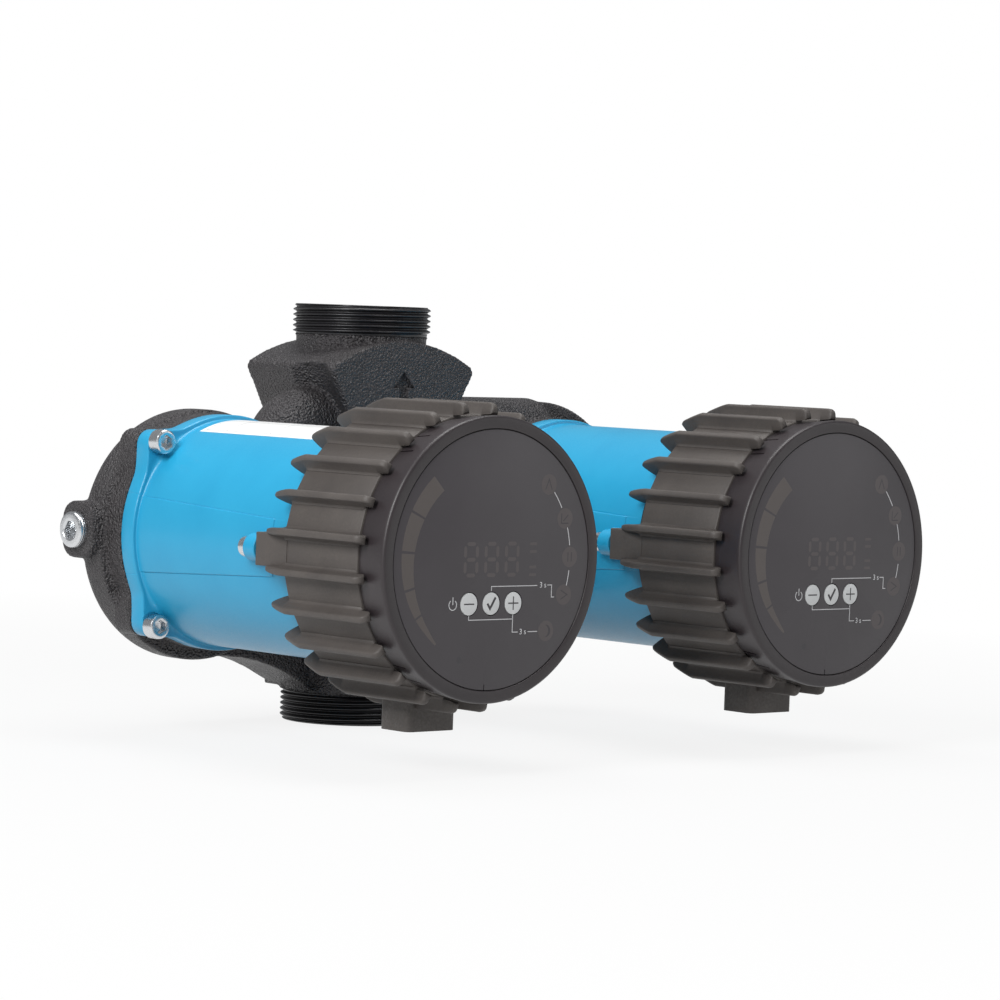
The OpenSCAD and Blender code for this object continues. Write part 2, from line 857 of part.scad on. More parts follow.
module rating_label() {
    inner = motor_r + label_gap;
    wedge = 2 * motor_r;
    color([0.93, 0.93, 0.92]) at_head(left) intersection() {
        tube(inner + label_t, inner, label_start, label_start + label_len);
        translate([0, 0, label_start]) linear_extrude(label_len)
            polygon([[0, 0], [wedge * sin(label_half_angle), wedge * cos(label_half_angle)],
                     [-wedge * sin(label_half_angle), wedge * cos(label_half_angle)]]);
    }
}

// Electronics housing

// Barrel in front view: flat facets between the fins
module barrel_outline() {
    corner_r = barrel_r / cos(fin_pitch / 2);
    polygon([for (i = [0 : fin_count - 1]) let (a = fin_first_angle + i * fin_pitch)
        [corner_r * cos(a), corner_r * sin(a)]]);
}

// Side view of one fin: x is the distance from the port axis, y the radius
module fin_profile() {
    edge_start = fin_start + fin_slope_len;
    slope_rise = fin_r - fin_tip_r;
    polygon(concat(
        [[fin_rear_root_start, fin_rear_root_r], [fin_start + slope_rise / 4, fin_tip_r - slope_rise / 2]],
        [for (i = [0 : fin_arc_steps]) let (a = 90 * i / fin_arc_steps)
            [edge_start - fin_slope_len * cos(a), fin_tip_r + slope_rise * sin(a)]],
        arc(fin_end - fin_nose_r, fin_r - fin_nose_r, fin_nose_r, 90, 0, fin_arc_steps),
        [[fin_end, cover_r + fin_skirt_gap], [barrel_end, cover_r],
         [barrel_end, fin_root_r], [barrel_start + over, fin_rear_root_r]]));
}

// One fin along the head's x axis: its profile, drawn in to a thinner outer edge
module fin() {
    intersection() {
        rotate([90, 0, 0]) rotate([0, 0, 90]) translate([0, 0, -fin_root_t]) mirror([0, 1, 0])
            linear_extrude(2 * fin_root_t) fin_profile();
        translate([0, 0, fin_start - over]) linear_extrude(fin_end - fin_start + 2 * over)
            polygon([[fin_rear_root_r - over, -fin_root_t / 2], [fin_r, -fin_edge_t / 2],
                     [fin_r, fin_edge_t / 2], [fin_rear_root_r - over, fin_root_t / 2]]);
    }
}

// Space that the cable socket stands in, with its clearance
module socket_space() {
    translate([0, -socket_seat_r, socket_start + socket_d / 2]) rotate([90, 0, 0])
        linear_extrude(fin_r) square([socket_w + 2 * seat_gap, socket_d + 2 * seat_gap], center = true);
}

module socket_seat() {
    translate([-socket_w / 2, -socket_seat_r, socket_start]) cube([socket_w, socket_seat_r - cavity_r + over, socket_d]);
}

module electronics_housing(side) {
    color(fin_grey) at_head(side) difference() {
        union() {
            rod(collar_r, collar_start, step_start);
            translate([0, 0, barrel_start]) linear_extrude(barrel_end - barrel_start) barrel_outline();
            for (i = [0 : fin_count - 1]) rotate([0, 0, fin_first_angle + i * fin_pitch]) fin();
            translate([-barrel_r, -pad_half, pad_start])
                cube([2 * barrel_r, 2 * pad_half, barrel_start + over - pad_start]);
            socket_seat();
        }
        rod(motor_r + seat_gap, pad_start - over, motor_end);
        rod(lead_hole_r, motor_end - over, motor_end + floor_t + over);
        rod(rear_cavity_r, motor_end + floor_t, step_start + over);
        rod(cavity_r, step_start, barrel_end + over);
        for (out = [left, right]) translate([out * lug_reach, 0, 0])
            rod(lug_screw_r, pad_start - over, pad_start + lug_screw_len);
        socket_space();
        translate([0, -cavity_r + over, socket_start + socket_d / 2]) rotate([90, 0, 0])
            linear_extrude(socket_seat_r) square([socket_spigot_w + seat_gap, socket_spigot_d + seat_gap], center = true);
    }
}

// Latch tongues of the cover: pairs of narrow slots in the skirt
module latch_slots() {
    for (turn = [latch_angle, 180 - latch_angle, 180 + latch_angle, 360 - latch_angle], edge = [-1, 1])
        rotate([0, 0, turn + edge * latch_half_angle]) translate([skirt_r - slot_depth, -slot_w / 2, barrel_end - over])
            cube([slot_depth + 2 * over, slot_w, latch_len + over]);
}

module front_cover(side) {
    inner = cover_inner_r;
    ledge_r = panel_r - panel_ledge;
    ledge_front = panel_front - panel_t;
    color(cover_grey) at_head(side) difference() {
        rotate_extrude() polygon(concat(
            [[cavity_r - seat_gap, barrel_end - spigot_len], [cavity_r - seat_gap, barrel_end],
             [skirt_r, barrel_end]],
            arc(cover_r - cover_edge_r, face_end - cover_edge_r, cover_edge_r, 0, 90, 5),
            [[panel_r + seat_gap / 2, face_end], [panel_r + seat_gap / 2, ledge_front],
             [ledge_r, ledge_front], [ledge_r, ledge_front - cover_wall],
             [inner, ledge_front - cover_wall], [inner, barrel_end - spigot_len]]));
        latch_slots();
    }
}

module at_keys() {
    for (i = [-1 : 1]) translate([i * key_pitch, -key_drop, 0]) children();
}

module display_panel(side) {
    color(panel_black) at_head(side) difference() {
        rod(panel_r, panel_front - panel_t, panel_front);
        at_keys() rod(key_r + key_gap, panel_front - 2 * panel_t, panel_front + over);
    }
}

// A key: a round cap in the panel and a wider flange behind it
module key(side, place) {
    flange_end = panel_front - panel_t - key_flange_gap;
    color([0.85, 0.85, 0.84]) at_head(side) translate([place * key_pitch, -key_drop, 0]) {
        rod(key_r, flange_end - key_flange_t, panel_front);
        rod(key_flange_r, flange_end - key_flange_t, flange_end);
    }
}

module circuit_board(side) {
    board_end = board_start + board_t;
    key_back = panel_front - panel_t - key_flange_gap - key_flange_t;
    color([0.1, 0.32, 0.18]) at_head(side) {
        rod(cover_inner_r, board_start, board_end);
        at_keys() rod(switch_r, board_end - over, key_back - key_travel - switch_clear);
        translate([0, 0, board_end - over]) linear_extrude(display_t + over)
            square([display_w, display_h], center = true);
        for (sx = [-1, 1]) translate([sx * capacitor_place_share * choke_w, 0, 0])
            rod(capacitor_r, board_start - capacitor_len, board_start + over);
        translate([0, choke_h, board_start - choke_t]) linear_extrude(choke_t + over)
            square([choke_w, choke_h], center = true);
    }
}

// Cable socket: a shroud that opens downwards round flat pins
module cable_socket(side) {
    color(cover_grey) at_head(side) translate([0, -socket_seat_r, socket_start + socket_d / 2])
        rotate([90, 0, 0]) difference() {
            union() {
                linear_extrude(socket_h) round_rect(socket_w, socket_d, socket_corner);
                translate([0, 0, -socket_spigot_h]) linear_extrude(socket_spigot_h + over)
                    square([socket_spigot_w, socket_spigot_d], center = true);
            }
            translate([0, 0, socket_h - socket_cavity_depth]) linear_extrude(socket_cavity_depth + over)
                round_rect(socket_w - 2 * socket_wall, socket_d - 2 * socket_wall, socket_corner - socket_wall / 2);
            for (i = [0 : pin_count - 1]) translate([(i - (pin_count - 1) / 2) * pin_pitch, 0, 0])
                translate([0, 0, -over - socket_spigot_h]) linear_extrude(socket_drop) square([pin_w, pin_t], center = true);
        }
}

module socket_pins(side) {
    from = socket_h - socket_cavity_depth;
    color([0.8, 0.66, 0.36]) at_head(side) translate([0, -socket_seat_r, socket_start + socket_d / 2])
        rotate([90, 0, 0]) for (i = [0 : pin_count - 1])
            translate([(i - (pin_count - 1) / 2) * pin_pitch, 0, -socket_spigot_h])
                linear_extrude(socket_spigot_h + from + pin_len) square([pin_w, pin_t], center = true);
}

pump_housing();
changeover_flap();
flap_pin();
vent_plugs();
plug_seals();
rating_label();
casing_seal(left);  // left_casing_seal
bearing_plate(left);  // left_bearing_plate
rotor_can(left);  // left_rotor_can
front_bearing(left);  // left_front_bearing
rear_bearing(left);  // left_rear_bearing
stator_core(left);  // left_stator_core
stator_windings(left);  // left_stator_windings
motor_housing(left);  // left_motor_housing
flange_screws(left);  // left_flange_screws
shaft(left);  // left_shaft
rotor(left);  // left_rotor
impeller(left);  // left_impeller
electronics_housing(left);  // left_electronics_housing
housing_screws(left);  // left_housing_screws
circuit_board(left);  // left_circuit_board
front_cover(left);  // left_front_cover
display_panel(left);  // left_display_panel
key(left, -1);  // left_minus_key
key(left, 0);  // left_enter_key
key(left, 1);  // left_plus_key
cable_socket(left);  // left_cable_socket
socket_pins(left);  // left_socket_pins
casing_seal(right);  // right_casing_seal
bearing_plate(right);  // right_bearing_plate
rotor_can(right);  // right_rotor_can
front_bearing(right);  // right_front_bearing
rear_bearing(right);  // right_rear_bearing
stator_core(right);  // right_stator_core
stator_windings(right);  // right_stator_windings
motor_housing(right);  // right_motor_housing
flange_screws(right);  // right_flange_screws
shaft(right);  // right_shaft
rotor(right);  // right_rotor
impeller(right);  // right_impeller
electronics_housing(right);  // right_electronics_housing
housing_screws(right);  // right_housing_screws
circuit_board(right);  // right_circuit_board
front_cover(right);  // right_front_cover
display_panel(right);  // right_display_panel
key(right, -1);  // right_minus_key
key(right, 0);  // right_enter_key
key(right, 1);  // right_plus_key
cable_socket(right);  // right_cable_socket
socket_pins(right);  // right_socket_pins
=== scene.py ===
"""Twin-head circulation pump: its finishes and fine detail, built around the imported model."""
import math

import bmesh
import bpy
from mathutils import Matrix, Vector


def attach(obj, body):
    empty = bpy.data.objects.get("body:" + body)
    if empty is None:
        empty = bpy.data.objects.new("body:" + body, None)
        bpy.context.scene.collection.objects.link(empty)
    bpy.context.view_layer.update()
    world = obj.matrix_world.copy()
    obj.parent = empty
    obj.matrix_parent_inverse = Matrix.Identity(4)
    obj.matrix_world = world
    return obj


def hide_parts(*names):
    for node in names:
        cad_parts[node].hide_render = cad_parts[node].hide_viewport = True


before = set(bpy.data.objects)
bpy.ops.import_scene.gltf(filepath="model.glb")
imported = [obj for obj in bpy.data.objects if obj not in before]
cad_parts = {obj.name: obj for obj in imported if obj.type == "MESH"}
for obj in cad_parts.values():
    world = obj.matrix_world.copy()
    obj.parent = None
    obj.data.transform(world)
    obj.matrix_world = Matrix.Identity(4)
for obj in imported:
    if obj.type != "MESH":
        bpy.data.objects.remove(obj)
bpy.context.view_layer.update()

# Sizes in millimetres. Head coordinates: u to the right, v up, w forward out of the port axis plane.

MM = 0.001
AXIS_HEIGHT = 84.0
HEAD_X = {"left": -95.0, "right": 95.0}
FLANGE_REAR = 23.4
FLANGE_FRONT = 31.4
FLANGE_R = 48.7
LOBE_HALF = 42.2
LOBE_CORNER = 6.0
SCREW_OFFSET = 37.6
MOTOR_R = 46.7
MOTOR_FRONT = 128.8
PAD_RISE = 0.4
PAD_REAR_HALF = 15.8
PAD_FRONT_HALF = 11.3
LUG_REACH = 50.2
LUG_REAR = 111.0
LUG_FRONT = 118.0
LUG_R = 5.5
BARREL_R = 54.6
BARREL_REAR = 135.3
BARREL_FRONT = 179.4
FIN_COUNT = 24
FIN_STEP = 360 / FIN_COUNT
FIN_R = 60.4
FIN_REAR = 124.8
FIN_FRONT = 185.4
SKIRT_R = 54.0
COVER_R = 55.4
FACE = 195.3
PANEL_R = 50.2
PANEL_FACE = 195.0
KEY_PITCH = 11.4
KEY_DROP = 16.8
KEY_R = 4.35
THREAD_R = 29.8
THREAD_LEN = 12.4
THREAD_PITCH = 2.309
PORT_BORE_R = 19.0
PORT_TOP = 180.0
PLUG_X = 149.3
PLUG_Y = -1.0
SIGN_R = 40.2
SIGN_ANGLES = (46.0, 23.0, 1.0, -20.4, -44.0)
PRINT_LINE = 0.3
PRINT_RISE = 0.035
DIM_RISE = 0.012
MERGE = 1e-5


def head_place(side):
    """Matrix from head coordinates in millimetres to the shared frame in metres."""
    x = HEAD_X[side]
    return Matrix(((MM, 0, 0, x * MM), (0, 0, -MM, 0), (0, MM, 0, AXIS_HEIGHT * MM), (0, 0, 0, 1)))


PORT_PLACE = Matrix.Scale(MM, 4)


# Mesh making

def new_mesh(name, verts, faces):
    mesh = bpy.data.meshes.new(name)
    mesh.from_pydata([tuple(v) for v in verts], [], faces)
    mesh.update()
    return mesh


def new_object(name, data):
    """Object with this data, linked to the scene."""
    thing = bpy.data.objects.new(name, data)
    bpy.context.scene.collection.objects.link(thing)
    return thing


def applied(thing):
    """Plain mesh of an object with its modifiers run. The object itself goes."""
    graph = bpy.context.evaluated_depsgraph_get()
    mesh = bpy.data.meshes.new_from_object(thing.evaluated_get(graph))
    bpy.data.objects.remove(thing)
    return mesh


def join_meshes(name, meshes):
    """One mesh out of several."""
    bm = bmesh.new()
    for mesh in meshes:
        bm.from_mesh(mesh)
    joined = bpy.data.meshes.new(name)
    bm.to_mesh(joined)
    bm.free()
    return joined


def tidy_normals(mesh, merge=0.0):
    """Turns all faces outwards, after merging points that are closer than the merge distance."""
    bm = bmesh.new()
    bm.from_mesh(mesh)
    if merge:
        bmesh.ops.remove_doubles(bm, verts=bm.verts, dist=merge)
    bmesh.ops.recalc_face_normals(bm, faces=bm.faces)
    bm.to_mesh(mesh)
    bm.free()


def add_piece(name, mesh, material, crease, place=None, body="pump", node=None):
    """Puts a mesh in the scene, with its place, material, body and the node that it replaces."""
    if place is not None:
        mesh.transform(place)
    tidy_normals(mesh)
    mesh.shade_smooth()
    mesh.set_sharp_from_angle(angle=math.radians(crease))
    mesh.materials.clear()
    mesh.materials.append(material)
    piece = new_object(name, mesh)
    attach(piece, body)
    if node:
        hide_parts(node)


def rings_mesh(name, rings, cap_start=True, cap_end=True):
    """Skin over closed rings that all have the same number of points."""
    n = len(rings[0])
    verts = [p for ring in rings for p in ring]
    faces = []
    for j in range(len(rings) - 1):
        for i in range(n):
            k = (i + 1) % n
            faces.append((j * n + i, j * n + k, (j + 1) * n + k, (j + 1) * n + i))
    if cap_start:
        faces.append(tuple(reversed(range(n))))
    if cap_end:
        faces.append(tuple(range((len(rings) - 1) * n, len(rings) * n)))
    return new_mesh(name, verts, faces)


def closed_skin(name, rings):
    """Skin over rings that runs on from the last one to the first."""
    mesh = rings_mesh(name, rings + [rings[0]], False, False)
    tidy_normals(mesh, MERGE)
    return mesh


def ring_at(r, w, steps, knurl=0.0):
    """Circle round the w axis. A knurl moves its points in and out by turns."""
    ring = []
    for i in range(steps):
        a = 2 * math.pi * i / steps
        reach = r + knurl * (1 if i % 2 else -1)
        ring.append((reach * math.cos(a), reach * math.sin(a), w))
    return ring


def hexagon_ring(corner_r, w, steps):
    """Hexagon round the w axis, with as many points as a circle has."""
    ring = []
    for i in range(steps):
        a = 2 * math.pi * i / steps
        local = (a + math.pi / 6) % (math.pi / 3) - math.pi / 6
        reach = corner_r * math.cos(math.pi / 6) / math.cos(local)
        ring.append((reach * math.cos(a), reach * math.sin(a), w))
    return ring


def turned(name, profile, steps):
    """Turns a closed profile of (radius, w) points about the w axis."""
    return closed_skin(name, [ring_at(r, w, steps) for r, w in profile])


def turned_disc(name, profile, steps):
    """Turns a profile that starts and ends on the w axis."""
    mesh = rings_mesh(name, [ring_at(r, w, steps) for r, w in profile], False, False)
    tidy_normals(mesh, MERGE)
    return mesh


def stack(name, levels):
    """Skin through flat outlines, each given with its place along w."""
    return rings_mesh(name, [[(u, v, w) for u, v in outline] for w, outline in levels])


def slab(name, outline, low, high):
    """Prism on a flat outline."""
    return stack(name, [(low, outline), (high, outline)])


def shrink(outline, amount):
    """Outline moved inwards along the mean of its neighbours' normals."""
    n = len(outline)
    ahead = outline[1:] + outline[:1]
    area = sum(here[0] * there[1] - there[0] * here[1] for here, there in zip(outline, ahead))
    turn = 1 if area > 0 else -1
    result = []
    for i in range(n):
        before, here, after = (Vector(outline[k % n]) for k in (i - 1, i, i + 1))
        a = (here - before).normalized()
        b = (after - here).normalized()
        normal = (Vector((-(a.y + b.y), a.x + b.x)) * turn).normalized()
        result.append((here.x + normal.x * amount, here.y + normal.y * amount))
    return result


def arc_points(cx, cy, r, start, end, steps):
    """Points along an arc from one angle to another, in degrees, with both ends."""
    angles = [math.radians(start + (end - start) * i / steps) for i in range(steps + 1)]
    return [(cx + r * math.cos(a), cy + r * math.sin(a)) for a in angles]


def circle_points(cx, cy, r, steps):
    return arc_points(cx, cy, r, 0, 360, steps)[:-1]


def band_points(cx, cy, r_in, r_out, start, end, steps):
    """Outline of a band between two arcs."""
    return arc_points(cx, cy, r_out, start, end, steps) + arc_points(cx, cy, r_in, start, end, steps)[::-1]


def rounded_box(w, h, r, steps=6):
    points = []
    for su, sv, start in ((1, 1, 0), (-1, 1, 90), (-1, -1, 180), (1, -1, 270)):
        points += arc_points(su * (w / 2 - r), sv * (h / 2 - r), r, start, start + 90, steps)
    return points


def cut_away(mesh, cutters):
    """Exact difference between a mesh and several cutter meshes."""
    body = new_object("body", mesh)
    cutter = new_object("cutter", join_meshes("cutter", cutters))
    mod = body.modifiers.new("cut", "BOOLEAN")
    mod.operation = "DIFFERENCE"
    mod.solver = "EXACT"
    mod.object = cutter
    mod.use_self = True
    result = applied(body)
    bpy.data.objects.remove(cutter)
    return result


def smooth_step(t):
    """Smooth rise from 0 to 1 as t does the same."""
    t = max(0.0, min(1.0, t))
    return t * t * (3 - 2 * t)


# Node trees: links, and copies of what repeats

def wire(tree, *links):
    """Links sockets, each link given as a node, its output, another node and its input."""
    for first, output, second, socket in links:
        tree.links.new(first.outputs[output], second.inputs[socket])


def feed(tree, socket, value):
    """Gives a socket a colour, a number or a link."""
    if isinstance(value, tuple):
        socket.default_value = (*value, 1)
    elif isinstance(value, (int, float)):
        socket.default_value = value
    else:
        tree.links.new(value, socket)


def tree_with(name, sockets):
    tree = bpy.data.node_groups.new(name, "GeometryNodeTree")
    for label, kind in (("Geometry", "NodeSocketGeometry"), *sockets, ("Material", "NodeSocketMaterial")):
        tree.interface.new_socket(label, in_out="INPUT", socket_type=kind)
    tree.interface.new_socket("Geometry", in_out="OUTPUT", socket_type="NodeSocketGeometry")
    return tree, tree.nodes.new("NodeGroupInput"), tree.nodes.new("NodeGroupOutput")


def finish_tree(tree, start, end, copies):
    """Makes the copies real and gives them their material."""
    realize = tree.nodes.new("GeometryNodeRealizeInstances")
    paint = tree.nodes.new("GeometryNodeSetMaterial")
    wire(tree, (start, "Geometry", copies, "Instance"), (copies, "Instances", realize, "Geometry"),
         (realize, "Geometry", paint, "Geometry"), (start, "Material", paint, "Material"),
         (paint, "Geometry", end, "Geometry"))
    return tree


def make_ring_tree():
    """Copies of a piece turned about the w axis by even steps."""
    tree, start, end = tree_with("ring of copies", (
        ("Count", "NodeSocketInt"), ("First Angle", "NodeSocketFloat"), ("Step Angle", "NodeSocketFloat")))
    line = tree.nodes.new("GeometryNodeMeshLine")
    line.inputs["Offset"].default_value = (0, 0, 0)
    index = tree.nodes.new("GeometryNodeInputIndex")
    turn = tree.nodes.new("ShaderNodeMath")
    turn.operation = "MULTIPLY_ADD"
    combine = tree.nodes.new("ShaderNodeCombineXYZ")
    euler = tree.nodes.new("FunctionNodeEulerToRotation")
    copies = tree.nodes.new("GeometryNodeInstanceOnPoints")
    wire(tree, (start, "Count", line, "Count"), (line, "Mesh", copies, "Points"), (index, "Index", turn, 0),
         (start, "Step Angle", turn, 1), (start, "First Angle", turn, 2), (turn, "Value", combine, "Z"),
         (combine, "Vector", euler, "Euler"), (euler, "Rotation", copies, "Rotation"))
    return finish_tree(tree, start, end, copies)


def make_corner_tree():
    """Copies of a piece at the crossings of a flat grid."""
    tree, start, end = tree_with("corner copies", (
        ("Spread U", "NodeSocketFloat"), ("Spread V", "NodeSocketFloat"),
        ("Columns", "NodeSocketInt"), ("Rows", "NodeSocketInt")))
    grid = tree.nodes.new("GeometryNodeMeshGrid")
    copies = tree.nodes.new("GeometryNodeInstanceOnPoints")
    wire(tree, (start, "Spread U", grid, "Size X"), (start, "Spread V", grid, "Size Y"),
         (start, "Columns", grid, "Vertices X"), (start, "Rows", grid, "Vertices Y"),
         (grid, "Mesh", copies, "Points"))
    return finish_tree(tree, start, end, copies)


def repeat(name, mesh, tree, material, **values):
    """Runs a copies tree on a mesh and returns the plain mesh of all the copies."""
    source = new_object(name, mesh)
    mod = source.modifiers.new("copies", "NODES")
    mod.node_group = tree
    names = {item.name: item.identifier for item in tree.interface.items_tree
             if item.item_type == "SOCKET" and item.in_out == "INPUT"}
    mod[names["Material"]] = material
    for label, value in values.items():
        mod[names[label.replace("_", " ")]] = value
    return applied(source)


RING_TREE = make_ring_tree()
CORNER_TREE = make_corner_tree()


# Shared shader effects

def shader_group(name, inputs, outputs):
    group = bpy.data.node_groups.new(name, "ShaderNodeTree")
    for label, kind, value in inputs:
        socket = group.interface.new_socket(label, in_out="INPUT", socket_type=kind)
        if value is not None:
            socket.default_value = value
    for label, kind in outputs:
        group.interface.new_socket(label, in_out="OUTPUT", socket_type=kind)
    return group, group.nodes.new("NodeGroupInput"), group.nodes.new("NodeGroupOutput")


def noise_node(group, vector, scale, detail, rough=0.55):
    node = group.nodes.new("ShaderNodeTexNoise")
    for label, value in (("Vector", vector), ("Scale", scale), ("Detail", detail), ("Roughness", rough)):
        feed(group, node.inputs[label], value)
    return node.outputs["Fac"]


def map_node(group, value, low, high, to_low, to_high):
    node = group.nodes.new("ShaderNodeMapRange")
    for label, number in (("Value", value), ("From Min", low), ("From Max", high), ("To Min", to_low),
                          ("To Max", to_high)):
        feed(group, node.inputs[label], number)
    return node.outputs["Result"]


def math_node(group, kind, *values):
    node = group.nodes.new("ShaderNodeMath")
    node.operation = kind
    for index, value in enumerate(values):
        feed(group, node.inputs[index], value)
    return node.outputs["Value"]


def make_cast_skin():
    """Sand-cast surface: rounded grains on a gently uneven skin."""
    group, start, end = shader_group("cast skin", (
        ("Vector", "NodeSocketVector", None), ("Grain Scale", "NodeSocketFloat", 700.0),
        ("Unevenness", "NodeSocketFloat", 0.5)), (("Height", "NodeSocketFloat"), ("Tone", "NodeSocketFloat")))
    grains = group.nodes.new("ShaderNodeTexVoronoi")
    grains.feature = "SMOOTH_F1"
    grains.inputs["Smoothness"].default_value = 0.35
    wire(group, (start, "Vector", grains, "Vector"), (start, "Grain Scale", grains, "Scale"))
    sand = noise_node(group, start.outputs["Vector"], 2200.0, 3.0)
    waves = noise_node(group, start.outputs["Vector"], 160.0, 4.0)
    rough = math_node(group, "MULTIPLY_ADD", sand, 0.5, grains.outputs["Distance"])
    uneven = math_node(group, "MULTIPLY", waves, start.outputs["Unevenness"])
    height = math_node(group, "ADD", rough, uneven)
    feed(group, end.inputs["Height"], height)
    feed(group, end.inputs["Tone"], map_node(group, height, 0.5, 1.3, 0.0, 1.0))
    return group


def make_fine_grain():
    """Fine even grain of moulded plastic, paint or a matt coat."""
    group, start, end = shader_group("fine grain", (
        ("Vector", "NodeSocketVector", None), ("Grain Scale", "NodeSocketFloat", 2500.0),
        ("Cloud Scale", "NodeSocketFloat", 45.0)),
        (("Height", "NodeSocketFloat"), ("Tone", "NodeSocketFloat"), ("Speckle", "NodeSocketFloat")))
    grain = noise_node(group, start.outputs["Vector"], start.outputs["Grain Scale"], 2.0)
    cloud = noise_node(group, start.outputs["Vector"], start.outputs["Cloud Scale"], 5.0)
    feed(group, end.inputs["Height"], grain)
    feed(group, end.inputs["Tone"], map_node(group, cloud, 0.3, 0.7, 0.0, 1.0))
    feed(group, end.inputs["Speckle"], map_node(group, grain, 0.35, 0.65, 0.0, 1.0))
    return group


def make_dust():
    """Light dust and rubbed patches, as a mask that gathers in soft clouds."""
    group, start, end = shader_group("dust", (
        ("Vector", "NodeSocketVector", None), ("Patch Scale", "NodeSocketFloat", 60.0),
        ("Amount", "NodeSocketFloat", 0.3)), (("Mask", "NodeSocketFloat"),))
    patch = noise_node(group, start.outputs["Vector"], start.outputs["Patch Scale"], 6.0, 0.7)
    fine = noise_node(group, start.outputs["Vector"], 900.0, 3.0)
    both = math_node(group, "MULTIPLY", patch, fine)
    feed(group, end.inputs["Mask"], map_node(group, both, 0.2, 0.42, 0.0, start.outputs["Amount"]))
    return group


CAST_SKIN = make_cast_skin()
FINE_GRAIN = make_fine_grain()
DUST = make_dust()


class Finish:
    """A material with its Principled shader, object coordinates and helpers for links."""

    def __init__(self, name, roughness, metallic=0.0, coat=0.0, specular=0.5):
        self.material = bpy.data.materials.new(name)
        self.material.use_nodes = True
        self.tree = self.material.node_tree
        self.shader = self.tree.nodes["Principled BSDF"]
        self.shader.inputs["Metallic"].default_value = metallic
        self.shader.inputs["Roughness"].default_value = roughness
        self.shader.inputs["Coat Weight"].default_value = coat
        self.shader.inputs["Coat Roughness"].default_value = 0.1
        self.shader.inputs["Specular IOR Level"].default_value = specular
        self.place = self.tree.nodes.new("ShaderNodeTexCoord").outputs["Object"]

    def effect(self, group, **values):
        node = self.tree.nodes.new("ShaderNodeGroup")
        node.node_tree = group
        self.tree.links.new(self.place, node.inputs["Vector"])
        for label, value in values.items():
            node.inputs[label.replace("_", " ")].default_value = value
        return node.outputs

    def blend(self, mask, first, second):
        node = self.tree.nodes.new("ShaderNodeMix")
        node.data_type = "RGBA"
        for index, value in ((0, mask), (6, first), (7, second)):
            feed(self.tree, node.inputs[index], value)
        return node.outputs[2]

    def color(self, source):
        self.tree.links.new(source, self.shader.inputs["Base Color"])

    def roughness(self, source, low, high):
        self.tree.links.new(map_node(self.tree, source, 0.0, 1.0, low, high), self.shader.inputs["Roughness"])

    def bump(self, height, distance):
        node = self.tree.nodes.new("ShaderNodeBump")
        node.inputs["Distance"].default_value = distance
        node.inputs["Strength"].default_value = 1.0
        self.tree.links.new(height, node.inputs["Height"])
        self.tree.links.new(node.outputs["Normal"], self.shader.inputs["Normal"])


def cast_iron_finish(name, dark, light, grain_scale, depth, low, high):
    dust_gain = 2.2
    finish = Finish(name, 0.5, specular=0.6)
    skin = finish.effect(CAST_SKIN, Grain_Scale=grain_scale, Unevenness=0.6)
    dust = finish.effect(DUST, Patch_Scale=70.0, Amount=0.25)
    base = finish.blend(skin["Tone"], dark, light)
    finish.color(finish.blend(dust["Mask"], base, tuple(c * dust_gain for c in light)))
    finish.roughness(skin["Tone"], low, high)
    finish.bump(skin["Height"], depth)
    return finish.material


def coated_finish(name, dark, light, grain_scale, depth, low, high, coat=0.0, dust=0.0, metallic=0.0,
                  dust_color=(0.35, 0.33, 0.31)):
    finish = Finish(name, low, metallic=metallic, coat=coat)
    grain = finish.effect(FINE_GRAIN, Grain_Scale=grain_scale)
    base = finish.blend(grain["Tone"], dark, light)
    if dust:
        mask = finish.effect(DUST, Amount=dust)["Mask"]
        base = finish.blend(mask, base, dust_color)
    finish.color(base)
    finish.roughness(grain["Speckle"], low, high)
    finish.bump(grain["Height"], depth)
    return finish.material


CAST_BLACK = cast_iron_finish("coated cast iron", (0.005, 0.004, 0.005), (0.034, 0.030, 0.032), 980.0,
                              0.0010, 0.28, 0.5)
CUT_IRON = coated_finish("cut iron thread", (0.004, 0.004, 0.005), (0.010, 0.009, 0.011), 1800.0, 0.00002,
                         0.28, 0.42)
MOTOR_BLUE = coated_finish("blue motor paint", (0.012, 0.285, 0.500), (0.016, 0.310, 0.530), 1400.0,
                           0.00003, 0.34, 0.44, coat=0.08)
FIN_GREY = coated_finish("fin coat", (0.058, 0.050, 0.046), (0.076, 0.066, 0.060), 3200.0, 0.00005, 0.5,
                         0.66, dust=0.12, dust_color=(0.17, 0.145, 0.12))
COVER_GREY = coated_finish("cover plastic", (0.022, 0.017, 0.019), (0.028, 0.022, 0.024), 3800.0, 0.00002,
                           0.38, 0.48)
PANEL_BLACK = coated_finish("panel film", (0.044, 0.038, 0.043), (0.049, 0.043, 0.048), 5200.0, 0.00001,
                            0.36, 0.44)
SOCKET_GREY = coated_finish("socket plastic", (0.070, 0.062, 0.057), (0.086, 0.076, 0.070), 2600.0, 0.00005,
                            0.55, 0.7, dust=0.15)
KEY_WHITE = coated_finish("key print", (0.60, 0.61, 0.61), (0.66, 0.67, 0.67), 4000.0, 0.00001, 0.38, 0.48)
PRINT_WHITE = coated_finish("white print", (0.56, 0.56, 0.57), (0.62, 0.62, 0.63), 4000.0, 0.00001, 0.4,
                            0.5)
PRINT_DARK = coated_finish("dark print", (0.035, 0.032, 0.036), (0.042, 0.038, 0.043), 4000.0, 0.00001, 0.4,
                           0.5)
DIM_BAR = coated_finish("unlit bar graph", (0.078, 0.065, 0.060), (0.084, 0.070, 0.065), 4000.0, 0.00001,
                        0.36, 0.44)
DIM_DIGIT = coated_finish("unlit digits", (0.072, 0.060, 0.061), (0.077, 0.065, 0.066), 4000.0, 0.00001,
                          0.36, 0.44)
